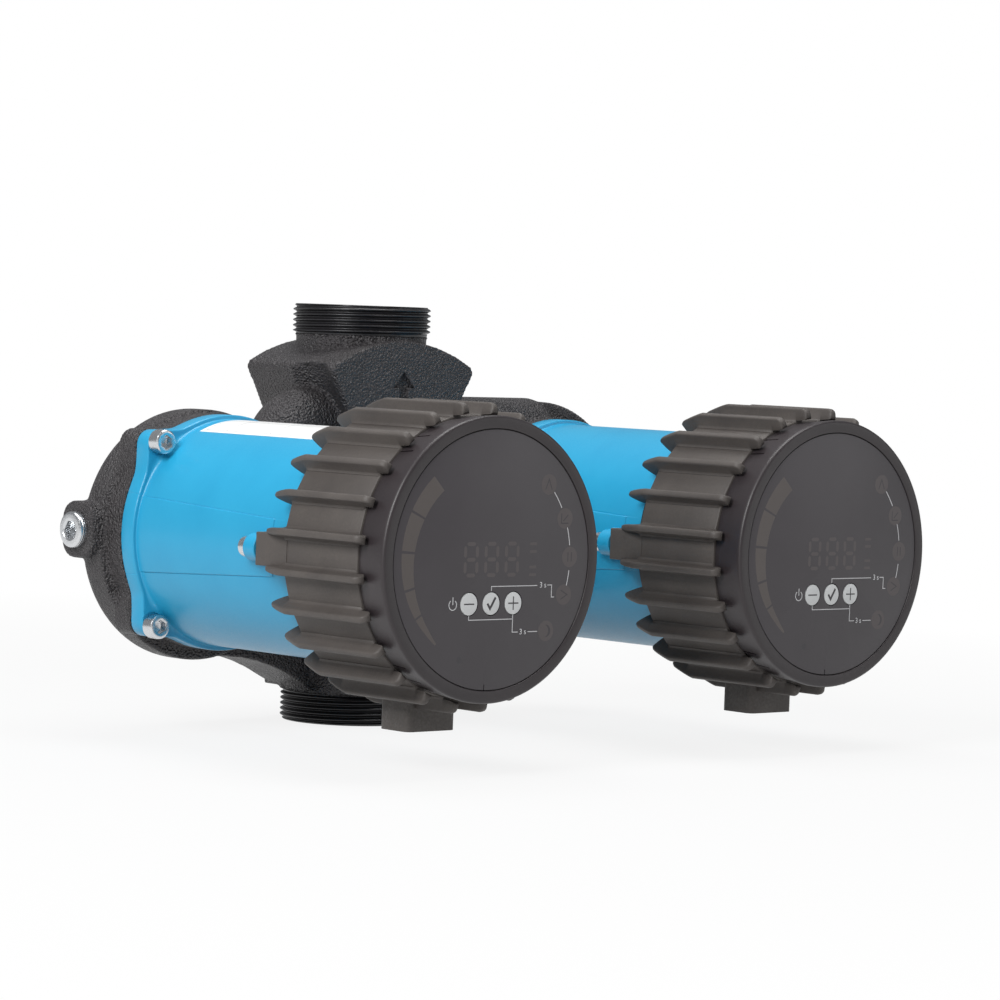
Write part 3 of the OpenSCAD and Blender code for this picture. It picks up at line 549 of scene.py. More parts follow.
ZINC = coated_finish("bright zinc", (0.62, 0.64, 0.66), (0.72, 0.73, 0.74), 1600.0, 0.00003, 0.2, 0.34,
                     metallic=1.0)
STAINLESS = coated_finish("turned stainless", (0.52, 0.52, 0.53), (0.62, 0.62, 0.63), 2200.0, 0.00002, 0.24,
                          0.36, metallic=1.0)
LAMINATION = coated_finish("stacked sheet", (0.24, 0.24, 0.25), (0.32, 0.32, 0.33), 1200.0, 0.00005, 0.4,
                           0.55, metallic=1.0)
COPPER = coated_finish("copper", (0.68, 0.32, 0.17), (0.76, 0.38, 0.22), 900.0, 0.00006, 0.28, 0.4,
                       metallic=1.0)
BRASS = coated_finish("contact brass", (0.66, 0.50, 0.22), (0.74, 0.58, 0.28), 1800.0, 0.00002, 0.25, 0.36,
                      metallic=1.0)
SEAL_RUBBER = coated_finish("seal rubber", (0.010, 0.010, 0.011), (0.016, 0.016, 0.017), 1500.0, 0.00004,
                            0.6, 0.8)
CARBON = coated_finish("bearing carbon", (0.03, 0.03, 0.035), (0.045, 0.045, 0.05), 2000.0, 0.00002, 0.3,
                       0.45)
IVORY = coated_finish("impeller plastic", (0.62, 0.56, 0.44), (0.68, 0.62, 0.50), 1600.0, 0.00003, 0.4,
                      0.55)
BOARD_GREEN = coated_finish("board lacquer", (0.02, 0.12, 0.05), (0.03, 0.16, 0.07), 900.0, 0.00005, 0.3,
                            0.45, coat=0.3)
LABEL_FILM = coated_finish("label film", (0.80, 0.80, 0.79), (0.86, 0.86, 0.85), 3000.0, 0.00001, 0.3, 0.4,
                           coat=0.2)
LABEL_LINE = coated_finish("label ruling", (0.30, 0.30, 0.31), (0.40, 0.40, 0.41), 3000.0, 0.00001, 0.3,
                           0.4)

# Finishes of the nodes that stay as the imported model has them

NODE_FINISH = {
    "changeover_flap": STAINLESS, "flap_pin": STAINLESS, "vent_plugs": ZINC, "plug_seals": ZINC,
    "casing_seal": SEAL_RUBBER, "bearing_plate": STAINLESS, "rotor_can": STAINLESS, "front_bearing": CARBON,
    "rear_bearing": CARBON, "stator_core": LAMINATION, "stator_windings": COPPER, "motor_housing": MOTOR_BLUE,
    "flange_screws": ZINC, "shaft": STAINLESS, "rotor": LAMINATION, "impeller": IVORY,
    "electronics_housing": FIN_GREY, "housing_screws": ZINC, "circuit_board": BOARD_GREEN,
    "front_cover": COVER_GREY, "display_panel": PANEL_BLACK, "minus_key": KEY_WHITE, "enter_key": KEY_WHITE,
    "plus_key": KEY_WHITE, "cable_socket": SOCKET_GREY, "socket_pins": BRASS, "pump_housing": CAST_BLACK,
    "rating_label": LABEL_FILM}

for node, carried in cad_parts.items():
    finish = NODE_FINISH[node.removeprefix("left_").removeprefix("right_")]
    for index in range(max(1, len(carried.data.materials))):
        if index < len(carried.data.materials):
            carried.data.materials[index] = finish
        else:
            carried.data.materials.append(finish)


# Cast pump housing

def soft_casting():
    """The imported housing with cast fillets: its mesh is rebuilt in small cells, relaxed and thinned."""
    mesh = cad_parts["pump_housing"].data.copy()
    tidy_normals(mesh, 1e-6)
    rough = new_object("casting", mesh)
    remesh = rough.modifiers.new("cells", "REMESH")
    remesh.mode = "VOXEL"
    remesh.voxel_size = 0.9 * MM
    relax = rough.modifiers.new("relax", "SMOOTH")
    relax.factor = 0.5
    relax.iterations = 2
    rough.modifiers.new("thin", "DECIMATE").ratio = 0.4
    return applied(rough)


def arrow_depth(x, z):
    """How deep the flow arrow is at a place on the manifold's front, from 0 to 1."""
    apex, barb_z, barb_x, stem, foot, softness = 68.0, 61.4, 5.5, 2.3, 50.0, 0.5
    head = max(barb_z - z, abs(x) * (apex - barb_z) / barb_x - (apex - z))
    shaft = max(abs(x) - stem, z - barb_z - 1, foot - z)
    return 1 - smooth_step(min(head, shaft) / softness + 0.5)


def finish_casting(mesh):
    """Carves the flow arrow and makes room for the thread sleeves."""
    window_x, window_low, window_high, front_y = 7.5 * MM, 132 * MM, 153.5 * MM, -28 * MM
    cell, passes = 0.5 * MM, 8
    arrow_x, arrow_low, arrow_high, arrow_deep = 9, 128, 156, 1.3
    port_out, port_in, core_r, rim, ease, sunk = 31, 24, 27.6, 2, 0.6, 0.8
    bm = bmesh.new()
    bm.from_mesh(mesh)
    for _ in range(passes):
        window = set()
        for f in bm.faces:
            xs, ys, zs = zip(*(v.co for v in f.verts))
            beside = min(xs) < window_x and max(xs) > -window_x
            if beside and max(ys) < front_y and min(zs) < window_high and max(zs) > window_low:
                window.update(e for e in f.edges if e.calc_length() > cell)
        if window:
            bmesh.ops.subdivide_edges(bm, edges=[e for e in bm.edges if e in window], cuts=1)
            bmesh.ops.triangulate(bm, faces=[f for f in bm.faces if len(f.verts) > 3])
    for v in bm.verts:
        x, y, z = (c / MM for c in v.co)
        if y < front_y / MM and abs(x) < arrow_x and arrow_low < z < arrow_high:
            v.co.y += arrow_deep * MM * arrow_depth(x, z - AXIS_HEIGHT)
        r = math.hypot(x, y)
        if r < port_out and (z > PORT_TOP - THREAD_LEN - ease or z < THREAD_LEN + ease):
            if r > port_in:
                v.co.x *= core_r / r
                v.co.y *= core_r / r
            if z > PORT_TOP - rim:
                v.co.z = min(v.co.z, (PORT_TOP - sunk) * MM)
            if z < rim:
                v.co.z = max(v.co.z, sunk * MM)
    bm.to_mesh(mesh)
    bm.free()
    return mesh


def thread_sleeve(name, flip):
    """Helical pipe thread with a chamfered lead, a sealing face and the mouth of the bore."""
    steps, rows = 144, 66
    root_r, lead_r, below, run_out, bore_r = 28.35, 28.6, 0.4, 0.8, PORT_BORE_R - 0.05
    start = PORT_TOP - THREAD_LEN
    rings = []
    for j in range(rows + 1):
        z = start - below + (THREAD_LEN + below) * j / rows
        fade = smooth_step((z - start) / run_out)
        ring = []
        for i in range(steps):
            a = 2 * math.pi * i / steps
            phase = (z / THREAD_PITCH - i / steps) % 1.0
            ridge = smooth_step((1 - abs(2 * phase - 1)) * 1.15 - 0.06)
            r = min(root_r + (THREAD_R - root_r) * ridge * fade, lead_r + (PORT_TOP - z) * 0.9)
            ring.append((r * math.cos(a), r * math.sin(a), z))
        rings.append(ring)
    rings += [ring_at(r, z, steps) for r, z in (
        (28.1, PORT_TOP), (19.9, PORT_TOP), (bore_r, PORT_TOP - 0.9), (bore_r, start), (27.0, start - below))]
    mesh = closed_skin(name, rings)
    if flip:
        mesh.transform(Matrix.Translation((0, 0, PORT_TOP)) @ Matrix.Rotation(math.pi, 4, "X"))
    return mesh


add_piece("housing_casting", finish_casting(soft_casting()), CAST_BLACK, 60, node="pump_housing")
for port, flip in (("outlet", False), ("inlet", True)):
    sleeve = thread_sleeve(port + "_thread", flip)
    add_piece(port + "_thread", sleeve, CUT_IRON, 50, PORT_PLACE)


# Motor housings and plugs

def flange_reach(angle):
    """Radius of the flange's outline at an angle: round body with four softened corner lobes."""
    c, s = abs(math.cos(angle)), abs(math.sin(angle))
    core, blend = LOBE_HALF - LOBE_CORNER, 2.2
    along = c * core + s * core
    side = math.sqrt(max(0.0, 2 * core * core - along * along))
    corner = along + math.sqrt(LOBE_CORNER ** 2 - side * side) if side < LOBE_CORNER else 0.0
    flat = LOBE_HALF / max(c, s)
    lobe = max(corner, flat if min(c, s) * flat <= core else 0.0)
    return max(FLANGE_R, lobe) + blend * math.exp(-abs(FLANGE_R - lobe) / blend) * 0.35


def motor_angles(w):
    """Angles of the motor's grid lines, which follow the edges of the two side pads."""
    across, around = 22, 90
    t = max(0.0, min(1.0, (w - FLANGE_REAR) / (LUG_FRONT - FLANGE_REAR)))
    edge = math.asin((PAD_REAR_HALF + (PAD_FRONT_HALF - PAD_REAR_HALF) * t) / MOTOR_R)
    fine = [offset / MOTOR_R for offset in (-0.55, -0.3, -0.12, 0.12, 0.3, 0.55)]
    stops = []
    for base in (0.0, math.pi):
        lower = [base - edge + f for f in fine]
        upper = [base + edge + f for f in fine]
        after = base + math.pi - edge + fine[0]
        stops += lower
        stops += [lower[-1] + (upper[0] - lower[-1]) * i / across for i in range(1, across)]
        stops += upper
        stops += [upper[-1] + (after - upper[-1]) * i / around for i in range(1, around)]
    return stops, edge


def pad_height(angle, edge):
    """Height of the side pad over the barrel, with a fine parting groove along its edge."""
    a = (angle + math.pi / 2) % math.pi - math.pi / 2
    gap = (edge - abs(a)) * MOTOR_R
    groove = -0.22 * math.exp(-(gap / 0.16) ** 2)
    return PAD_RISE * smooth_step(gap / 0.3 + 0.5) + groove


def motor_shell():
    """Flange, cove and round body of a motor, with its side pads and the pockets under the screw heads."""
    rim, cove_rise, cove_len, cove_steps, body_steps = 0.9, 5.0, 5.2, 8, 24
    pocket_r, pocket_deep = 5.75, 0.25
    rings = []

    def ring(w, reach):
        angles, edge = motor_angles(w)
        rings.append([(reach(a, edge) * math.cos(a), reach(a, edge) * math.sin(a), w) for a in angles])

    def rise(a):
        return min(cove_rise, flange_reach(a) - rim - MOTOR_R)

    ring(FLANGE_REAR, lambda a, e: 40.0)
    for w, inset in ((FLANGE_REAR, 0.5), (FLANGE_REAR + 0.15, 0.15), (FLANGE_REAR + 0.5, 0.0),
                     (FLANGE_FRONT - 0.9, 0.0), (FLANGE_FRONT - 0.35, 0.15), (FLANGE_FRONT - 0.1, 0.4),
                     (FLANGE_FRONT, rim)):
        ring(w, lambda a, e: flange_reach(a) - inset + min(0.0, pad_height(a, e)))
    for share in (0.3, 0.65):
        ring(FLANGE_FRONT, lambda a, e: (flange_reach(a) - rim) * (1 - share) + share * (MOTOR_R + rise(a)))
    for i in range(cove_steps + 1):
        t = i / cove_steps
        along = 0.02 + cove_len * (1 - math.sqrt(1 - t * t)) if i < cove_steps else cove_len
        drop = 1 - math.sqrt(1 - (1 - t) ** 2)
        ring(FLANGE_FRONT + along, lambda a, e: MOTOR_R + rise(a) * drop + pad_height(a, e) * smooth_step(t))
    start = FLANGE_FRONT + cove_len
    for i in range(1, body_steps + 1):
        ring(start + (LUG_FRONT - start) * i / body_steps, lambda a, e: MOTOR_R + pad_height(a, e))
    for w, r in ((LUG_FRONT + 0.3, MOTOR_R), (MOTOR_FRONT, MOTOR_R), (MOTOR_FRONT, 20.0)):
        ring(w, lambda a, e: r)
    shell = rings_mesh("motor shell", rings)
    tidy_normals(shell)
    pockets = []
    for u in (-SCREW_OFFSET, SCREW_OFFSET):
        for v in (-SCREW_OFFSET, SCREW_OFFSET):
            outline = circle_points(u, v, pocket_r, 40)
            pockets.append(slab("pocket", outline, FLANGE_FRONT - pocket_deep, FLANGE_FRONT + 14))
    return cut_away(shell, pockets)


def screw_lugs():
    """Ears beside the motor that take the screws of the electronics housing."""
    flare = [(49.0, LUG_R + 0.05), (47.4, LUG_R + 0.35), (46.4, LUG_R + 1.1), (45.6, LUG_R + 2.4),
             (44.0, LUG_R + 3.0)]
    half = arc_points(LUG_REACH, 0, LUG_R, -90, 90, 24) + flare
    ears = []
    for side in (-1, 1):
        ear = [(side * u, v) for u, v in half + [(u, -v) for u, v in reversed(flare)]]
        ears.append(stack("ear", [(LUG_REAR, shrink(ear, 0.5)), (LUG_REAR + 0.5, ear), (LUG_FRONT - 0.3, ear),
                                  (LUG_FRONT, shrink(ear, 0.3))]))
    return ears


def cap_screw(r, length):
    """Socket head cap screw with a knurled head, standing on w = 0."""
    head, high, hexagon, knurl, steps = 1.65 * r, 2 * r, 0.96 * r, 0.07 * r / 3, 72
    profile = [(0.96 * r, 0.5 - length), (r, 1.0 - length), (r, -0.01), (head - 0.35, 0.0),
               (head - 0.05, 0.3), (head - 0.06, 0.5, knurl), (head - 0.06, high - 1.3, knurl),
               (head - 0.05, high - 1.05), (head - 0.12, high - 0.55), (head - 0.55, high - 0.08),
               (head - 0.8, high), (1.18 * hexagon, high)]
    rings = [ring_at(reach, w, steps, *rest) for reach, w, *rest in profile]
    for scale, w in ((1.03, high - 0.25), (1.0, high - 0.5), (1.0, high - 0.55 * high)):
        rings.append(hexagon_ring(scale * hexagon, w, steps))
    rings.append(ring_at(0.3 * r, high - 0.68 * high, steps))
    return rings_mesh("cap screw", rings)


def plug_piece():
    """Side plug with a stepped, chamfered collar and a hexagon socket, standing on w = 0."""
    steps, hexagon = 72, 3.85
    rings = [ring_at(r, w, steps) for r, w in (
        (5.4, -9.0), (5.95, -8.4), (5.95, 1.15), (7.1, 1.2), (7.35, 1.4), (7.35, 2.1), (7.2, 2.25),
        (7.2, 2.35), (7.35, 2.5), (7.35, 3.15), (7.15, 3.5), (6.7, 3.75), (6.3, 3.8), (4.7, 3.8),
        (4.45, 3.6))]
    for scale, w in ((1.02, 3.35), (1.0, 3.1), (1.0, -1.6), (0.4, -2.4)):
        rings.append(hexagon_ring(scale * hexagon, w, steps))
    return rings_mesh("plug", rings)


# Finned electronics housings

def fin_mesh():
    """One cooling fin at the top of the barrel: pointed behind, blunt in front, flared at its root."""
    slope, nose, point, blunt, lip = 13.2, 3.0, 7.2, 1.3, 1.2
    edge_half, root_half, root_deep = 1.42, 1.85, 52.0
    stations = [FIN_REAR + d for d in (0, 0.15, 0.6, 1.4, 2.4, 3.8, 5.4, 7.4, 9.2)]
    stations += [BARREL_REAR + d for d in (-0.01, 0.01, 1.1, 2.7, 5.7, 14.7, 29.7)]
    stations += [BARREL_FRONT + d for d in (-0.8, -0.01, 0.01, 1.6, 3.0)]
    stations += [FIN_FRONT - d for d in (2.2, 1.5, 0.9, 0.45, 0.15, 0)]
    rings = []
    for w in stations:
        top, plan = FIN_R, 1.0
        if w < FIN_REAR + slope:
            share = (FIN_REAR + slope - w) / slope
            top = FIN_R - 4.3 * share ** 1.15 - 0.9 * max(0.0, share - 0.88) / 0.12
        if w > FIN_FRONT - nose:
            top = FIN_R - nose + math.sqrt(max(0.0, nose ** 2 - (w - (FIN_FRONT - nose)) ** 2))
        if w < BARREL_REAR:
            bottom = 54.9 - 5.9 * smooth_step((w - FIN_REAR) / 8.0) ** 0.8
        elif w < BARREL_FRONT:
            bottom = root_deep
        else:
            bottom = 55.3 + 0.5 * (w - BARREL_FRONT) / (FIN_FRONT - BARREL_FRONT)
        if w > FIN_FRONT - lip:
            bottom += 0.9 * ((w - (FIN_FRONT - lip)) / lip) ** 2
        bottom = min(bottom, top - 0.25)
        if w < FIN_REAR + point:
            plan = 0.12 + 0.88 * math.sqrt(max(0.0, 1 - ((FIN_REAR + point - w) / point) ** 2))
        if w > FIN_FRONT - blunt:
            plan = 0.35 + 0.65 * math.sqrt(max(0.0, 1 - ((w - (FIN_FRONT - blunt)) / blunt) ** 2))
        edge, root = edge_half * plan, root_half * plan
        middle = (BARREL_REAR + BARREL_FRONT) / 2
        flare = smooth_step((w - BARREL_REAR) / 1.2 if w < middle else (BARREL_FRONT - w) / 0.8)
        foot, gap = min(BARREL_R + 0.35, top - 0.2), top - bottom
        half = [(bottom, root + 1.15 * flare)]
        if flare > 0:
            half += [(foot + rise, root + out * flare) for rise, out in ((0, 1.0), (0.3, 0.42), (0.95, 0.05))]
        else:
            half += [(bottom + share * gap, root) for share in (0.08, 0.2, 0.35)]
        corner = min(0.95, 0.3 * gap)
        half += [(top - down * corner, edge - back * plan)
                 for down, back in ((1, 0), (0.55, 0.08), (0.22, 0.3), (0.03, 0.68))]
        rings.append([(r, h, w) for r, h in half] + [(r, -h, w) for r, h in reversed(half)])
    return rings_mesh("fin", rings)


def facets(reach):
    """Outline of the faceted barrel at a distance across the flats."""
    corner = reach / math.cos(math.pi / FIN_COUNT)
    angles = [math.radians(FIN_STEP * (i + 0.5)) for i in range(FIN_COUNT)]
    return [(corner * math.cos(a), corner * math.sin(a)) for a in angles]


def barrel_shell():
    """Faceted barrel with chamfered ends and the step that the front cover sits in."""
    step_r = 51.0
    return stack("barrel", [(w, facets(r)) for r, w in (
        (50.3, BARREL_REAR), (BARREL_R - 0.7, BARREL_REAR), (BARREL_R - 0.2, BARREL_REAR + 0.25),
        (BARREL_R, BARREL_REAR + 0.8), (BARREL_R, BARREL_FRONT - 0.7), (BARREL_R - 0.22, BARREL_FRONT - 0.22),
        (BARREL_R - 0.7, BARREL_FRONT), (step_r, BARREL_FRONT), (step_r, BARREL_FRONT - 4))])


def spigot_ring_painted_shade():
    """Spigot behind the barrel, near-black as painted shade for the dark gap seen between motor and barrel.
    """
    r, bore, deep = 48.6, MOTOR_R + 0.25, 40.0
    rear, seat, front = MOTOR_FRONT - 0.2, MOTOR_FRONT + 0.4, BARREL_REAR + 0.7
    return turned("spigot", [(bore, rear), (r - 0.4, rear), (r, rear + 0.4), (r, front), (deep, front),
                             (deep, seat), (bore, seat)], 128)


def side_blocks():
    """Pads on both sides of the barrel that carry the screw lugs."""
    near, far, half, start = 47.1, 54.75, 6.5, LUG_FRONT + 0.1
    blocks = []
    for side in (-1, 1):
        outline = [(u + side * (near + far) / 2, v) for u, v in rounded_box(far - near, 2 * half, 0.5, 3)]
        blocks.append(stack("pad", [(start, shrink(outline, 0.4)), (start + 0.4, outline),
                                    (BARREL_REAR + 2, outline)]))
    return blocks


def socket_carrier():
    """Block under the barrel that carries the cable socket."""
    width, length, corner, middle = 25.2, 17.4, 3.0, 154.5
    outline = rounded_box(width, length, corner)
    return rings_mesh("carrier", [[(u, v, w + middle) for u, w in outline] for v in (-50.0, -56.0)])


# Front covers, panels and keys

def cover_shell():
    """Front cover: rim round the panel, rounded edge, waisted skirt and the slots of its snap tongues."""
    seat_r, rim_r, inner_r, slot_half, slot_len = 46.7, 50.35, 50.0, 0.35, 8.6
    shell = turned("cover", [
        (seat_r, FACE - 5.0), (seat_r, FACE - 2.9), (rim_r, FACE - 2.9), (rim_r, FACE - 0.35),
        (rim_r + 0.15, FACE - 0.1), (rim_r + 0.4, FACE), (COVER_R - 1.5, FACE), (COVER_R - 1.0, FACE - 0.05),
        (COVER_R - 0.55, FACE - 0.22), (COVER_R - 0.22, FACE - 0.55), (COVER_R - 0.04, FACE - 1.0),
        (COVER_R, FACE - 1.6), (COVER_R - 0.02, FACE - 2.4), (COVER_R - 0.5, FACE - 7.0),
        (SKIRT_R + 0.25, FACE - 12.5), (SKIRT_R, FACE - 15.2), (SKIRT_R - 0.5, BARREL_FRONT - 0.3),
        (inner_r, BARREL_FRONT - 0.3), (inner_r, BARREL_FRONT - 5)], 192)
    cuts = []
    for middle in (54.0, 126.0, 234.0, 306.0):
        for edge in (-5.2, 5.2):
            a = math.radians(middle + edge)
            side = Vector((-math.sin(a), math.cos(a), 0))
            out = Vector((math.cos(a), math.sin(a), 0))
            low, high = BARREL_FRONT - 1, BARREL_FRONT + slot_len
            corners = [(-slot_half, low), (slot_half, low), (slot_half, high), (-slot_half, high)]
            rings = [[out * r + side * across + Vector((0, 0, w)) for across, w in corners]
                     for r in (SKIRT_R - 1.6, SKIRT_R + 3)]
            cuts.append(rings_mesh("slot", rings))
            tidy_normals(cuts[-1])
    return cut_away(shell, cuts)


def panel_shell():
    """Panel disc with its rounded edge, the three key holes and the notch at its foot."""
    edge_r, back = PANEL_R - 0.1, PANEL_FACE - 2.5
    disc = turned_disc("panel", [(0.0, back), (edge_r, back), (edge_r, PANEL_FACE - 0.35),
                                 (PANEL_R - 0.2, PANEL_FACE - 0.1), (PANEL_R - 0.5, PANEL_FACE),
                                 (0.0, PANEL_FACE)], 192)
    holes = [slab("key hole", circle_points(i * KEY_PITCH, -KEY_DROP, KEY_R + 0.3, 48), PANEL_FACE - 4,
                  PANEL_FACE + 2) for i in (-1, 0, 1)]
    notch = [(-2.6, -PANEL_R - 1), (-2.2, -PANEL_R - 1), (-2.1, -PANEL_R + 2.4), (-2.5, -PANEL_R + 2.4)]
    holes.append(slab("notch", notch, PANEL_FACE - 0.8, PANEL_FACE + 2))
    return cut_away(disc, holes)


def flat_shape(outline, height):
    return slab("print", outline, PANEL_FACE - 0.02, PANEL_FACE + height)


def stroke(points, width, height=PRINT_RISE):
    """Printed line through several points, with mitred corners."""
    left, right = [], []
    for i, p in enumerate(points):
        here = Vector(p)
        a = (here - Vector(points[i - 1])).normalized() if i else None
        b = (Vector(points[i + 1]) - here).normalized() if i + 1 < len(points) else a
        a = a or b
        normal = Vector((-(a.y + b.y), a.x + b.x)).normalized()
        reach = width / 2 / max(0.3, normal.dot(Vector((-a.y, a.x))))
        left.append(tuple(here + normal * reach))
        right.append(tuple(here - normal * reach))
    return flat_shape(left + right[::-1], height)


def words(text, size, u, v):
    """Plain figures as a thin flat mesh."""
    curve = bpy.data.curves.new("figures", "FONT")
    curve.body = text
    curve.size = size
    curve.align_x = "CENTER"
    curve.align_y = "CENTER"
    curve.extrude = 0.02
    mesh = applied(new_object("figures", curve))
    mesh.transform(Matrix.Translation((u, v, PANEL_FACE + 0.02)))
    return mesh


def white_print():
    """Lines from the keys to the signs, the two times, the power sign and the arcs on the right."""
    shapes = [stroke(points, PRINT_LINE) for points in (
        [(-0.2, -12.0), (-0.2, -10.2), (23.6, -10.2)],
        [(28.9, -10.1), (31.2, -10.1), (31.2, -14.8), (32.7, -14.8)],
        [(-11.4, -21.3), (-11.4, -22.9), (11.3, -22.9)], [(11.3, -21.2), (11.3, -28.0), (14.2, -28.0)],
        [(19.4, -28.0), (24.4, -28.0)])]
    shapes += [stroke([(-19.7, -14.0), (-19.7, -16.9)], 0.35), words("3 s", 3.1, 26.6, -10.1),
               words("3 s", 3.1, 16.8, -28.0)]
    shapes.append(flat_shape(band_points(-19.7, -17.0, 1.75, 2.1, 125, 415, 28), 0.03))
    for start, end in ((29.5, 40.0), (7.5, 17.5), (-15.0, -6.5)):
        shapes.append(flat_shape(band_points(0, 0, 40.15, 40.5, start, end, 14), 0.03))
    return join_meshes("white print", shapes)


def bar_graph():
    """Curved bar of unlit segments, wider at its top."""
    top, foot, steps = 134.2, 229.0, 12
    shapes = []
    for start, end in ((top, 155.0), (156.2, 175.0), (176.3, 194.0), (195.3, 209.5), (210.6, foot)):
        outer, inner = [], []
        for i in range(steps + 1):
            degrees = start + (end - start) * i / steps
            share = (degrees - top) / (foot - top)
            middle = 40.9 + 2.6 * math.sin(math.pi * min(1.0, share * 1.1)) * 0.6 + 1.3 * share
            half = 3.3 * (1 - share ** 2.2) + 0.45
            a = math.radians(degrees)
            outer.append(((middle + half) * math.cos(a), (middle + half) * math.sin(a)))
            inner.append(((middle - half) * math.cos(a), (middle - half) * math.sin(a)))
        shapes.append(flat_shape(outer + inner[::-1], DIM_RISE))
    return join_meshes("bar graph", shapes)


def digit_segments():
    """Seven unlit segments of one digit."""
    half, wide, tip, column, row = 2.3, 0.75, 0.75, 3.0, 6.0
    bar = [(-half, 0), (tip - half, wide), (half - tip, wide), (half, 0), (half - tip, -wide),
           (tip - half, -wide)]
    shapes = [flat_shape([(u, v + level) for u, v in bar], DIM_RISE) for level in (row, 0, -row)]
    for u, v in ((-column, row / 2), (column, row / 2), (-column, -row / 2), (column, -row / 2)):
        shapes.append(flat_shape([(u - y, v + x) for x, y in bar], DIM_RISE))
    return join_meshes("digit", shapes)


def sign_places():
    """Middles of the five round signs."""
    return [(SIGN_R * math.cos(math.radians(a)), SIGN_R * math.sin(math.radians(a))) for a in SIGN_ANGLES]


def dim_print():
    """Unlit digits, unit marks and round signs."""
    digits = repeat("digits", digit_segments(), CORNER_TREE, DIM_DIGIT, Spread_U=21.0, Spread_V=0.0,
                    Columns=3, Rows=1)
    digits.transform(Matrix.Translation((-0.6, 0.2, 0)))
    shapes = [digits]
    for v in (6.0, 3.0, -3.0, -6.0):
        shapes.append(flat_shape([(x + 20.9, y + v) for x, y in rounded_box(3.6, 1.1, 0.3, 3)], DIM_RISE))
    shapes += [flat_shape(circle_points(u, v, 4.0, 40), DIM_RISE) for u, v in sign_places()]
    return join_meshes("dim print", shapes)


def sign_print():
    """Line drawings inside the round signs: arrow head, slope, two bars, triangle and crescent."""
    width, rise = 0.45, 0.02
    arrow, slope, bars, triangle, crescent = sign_places()
    shapes = []
    for (u, v), path in ((arrow, [(-1.7, -2.0), (0, 2.0), (1.7, -2.0)]),
                         (slope, [(-1.8, 1.9), (-1.8, -1.9), (1.9, -1.9)]),
                         (slope, [(-0.8, -1.0), (1.7, 1.4)]),
                         (bars, [(-0.9, 1.8), (-0.9, -1.8)]), (bars, [(0.9, 1.8), (0.9, -1.8)]),
                         (triangle, [(-1.6, 1.8), (1.8, 0.0), (-1.6, -1.8)])):
        shapes.append(stroke([(u + x, v + y) for x, y in path], width, rise))
    u, v = crescent
    moon = arc_points(u, v, 2.4, -110, 110, 18) + arc_points(u - 1.2, v, 2.5, -70, 70, 18)[::-1]
    shapes.append(flat_shape(moon, rise))
    shapes.append(flat_shape(circle_points(-15.5, -38.0, 1.3, 24), DIM_RISE))
    return join_meshes("sign print", shapes)


def key_cap():
    foot = PANEL_FACE - 1.5
    return turned_disc("key", [(0.0, foot), (KEY_R, foot), (KEY_R, PANEL_FACE - 0.2),
                               (KEY_R - 0.12, PANEL_FACE - 0.04), (KEY_R - 0.35, PANEL_FACE),
                               (0.0, PANEL_FACE)], 64)


def key_sign(kind):
    bar = stroke([(-2.6, 0), (2.6, 0)], 0.5)
    upright = stroke([(0, -2.6), (0, 2.6)], 0.5, 0.036)
    tick = stroke([(-2.0, 0.1), (-0.6, -1.9), (2.1, 2.4)], 0.95)
    return join_meshes("key sign", {"minus": [bar], "plus": [bar, upright], "enter": [tick]}[kind])


# Rating label: a bare film with a ruled frame

def curved_strip(low, high, start, end, inner, outer):
    """Curved plate between two angles, two places along w and two radii."""
    count = max(2, int((high - low) / 1.3))
    angles = [math.radians(low + (high - low) * i / count) for i in range(count + 1)]
    verts = [(r * math.cos(a), r * math.sin(a), w)
             for r in (inner, outer) for w in (start, end) for a in angles]
    n = count + 1
    faces = []
    for i in range(count):
        faces += [(i, i + 1, n + i + 1, n + i), (2 * n + i, 3 * n + i, 3 * n + i + 1, 2 * n + i + 1),
                  (i, 2 * n + i, 2 * n + i + 1, i + 1), (n + i, n + i + 1, 3 * n + i + 1, 3 * n + i)]
    faces += [(0, n, 3 * n, 2 * n), (n - 1, 3 * n - 1, 4 * n - 1, 2 * n - 1)]
    return new_mesh("strip", verts, faces)


def label_film():
    return curved_strip(64, 116, 37, 109, MOTOR_R + 0.03, MOTOR_R + 0.2)


def label_strip(low, high, start, end):
    return curved_strip(low, high, start, end, MOTOR_R + 0.19, MOTOR_R + 0.22)


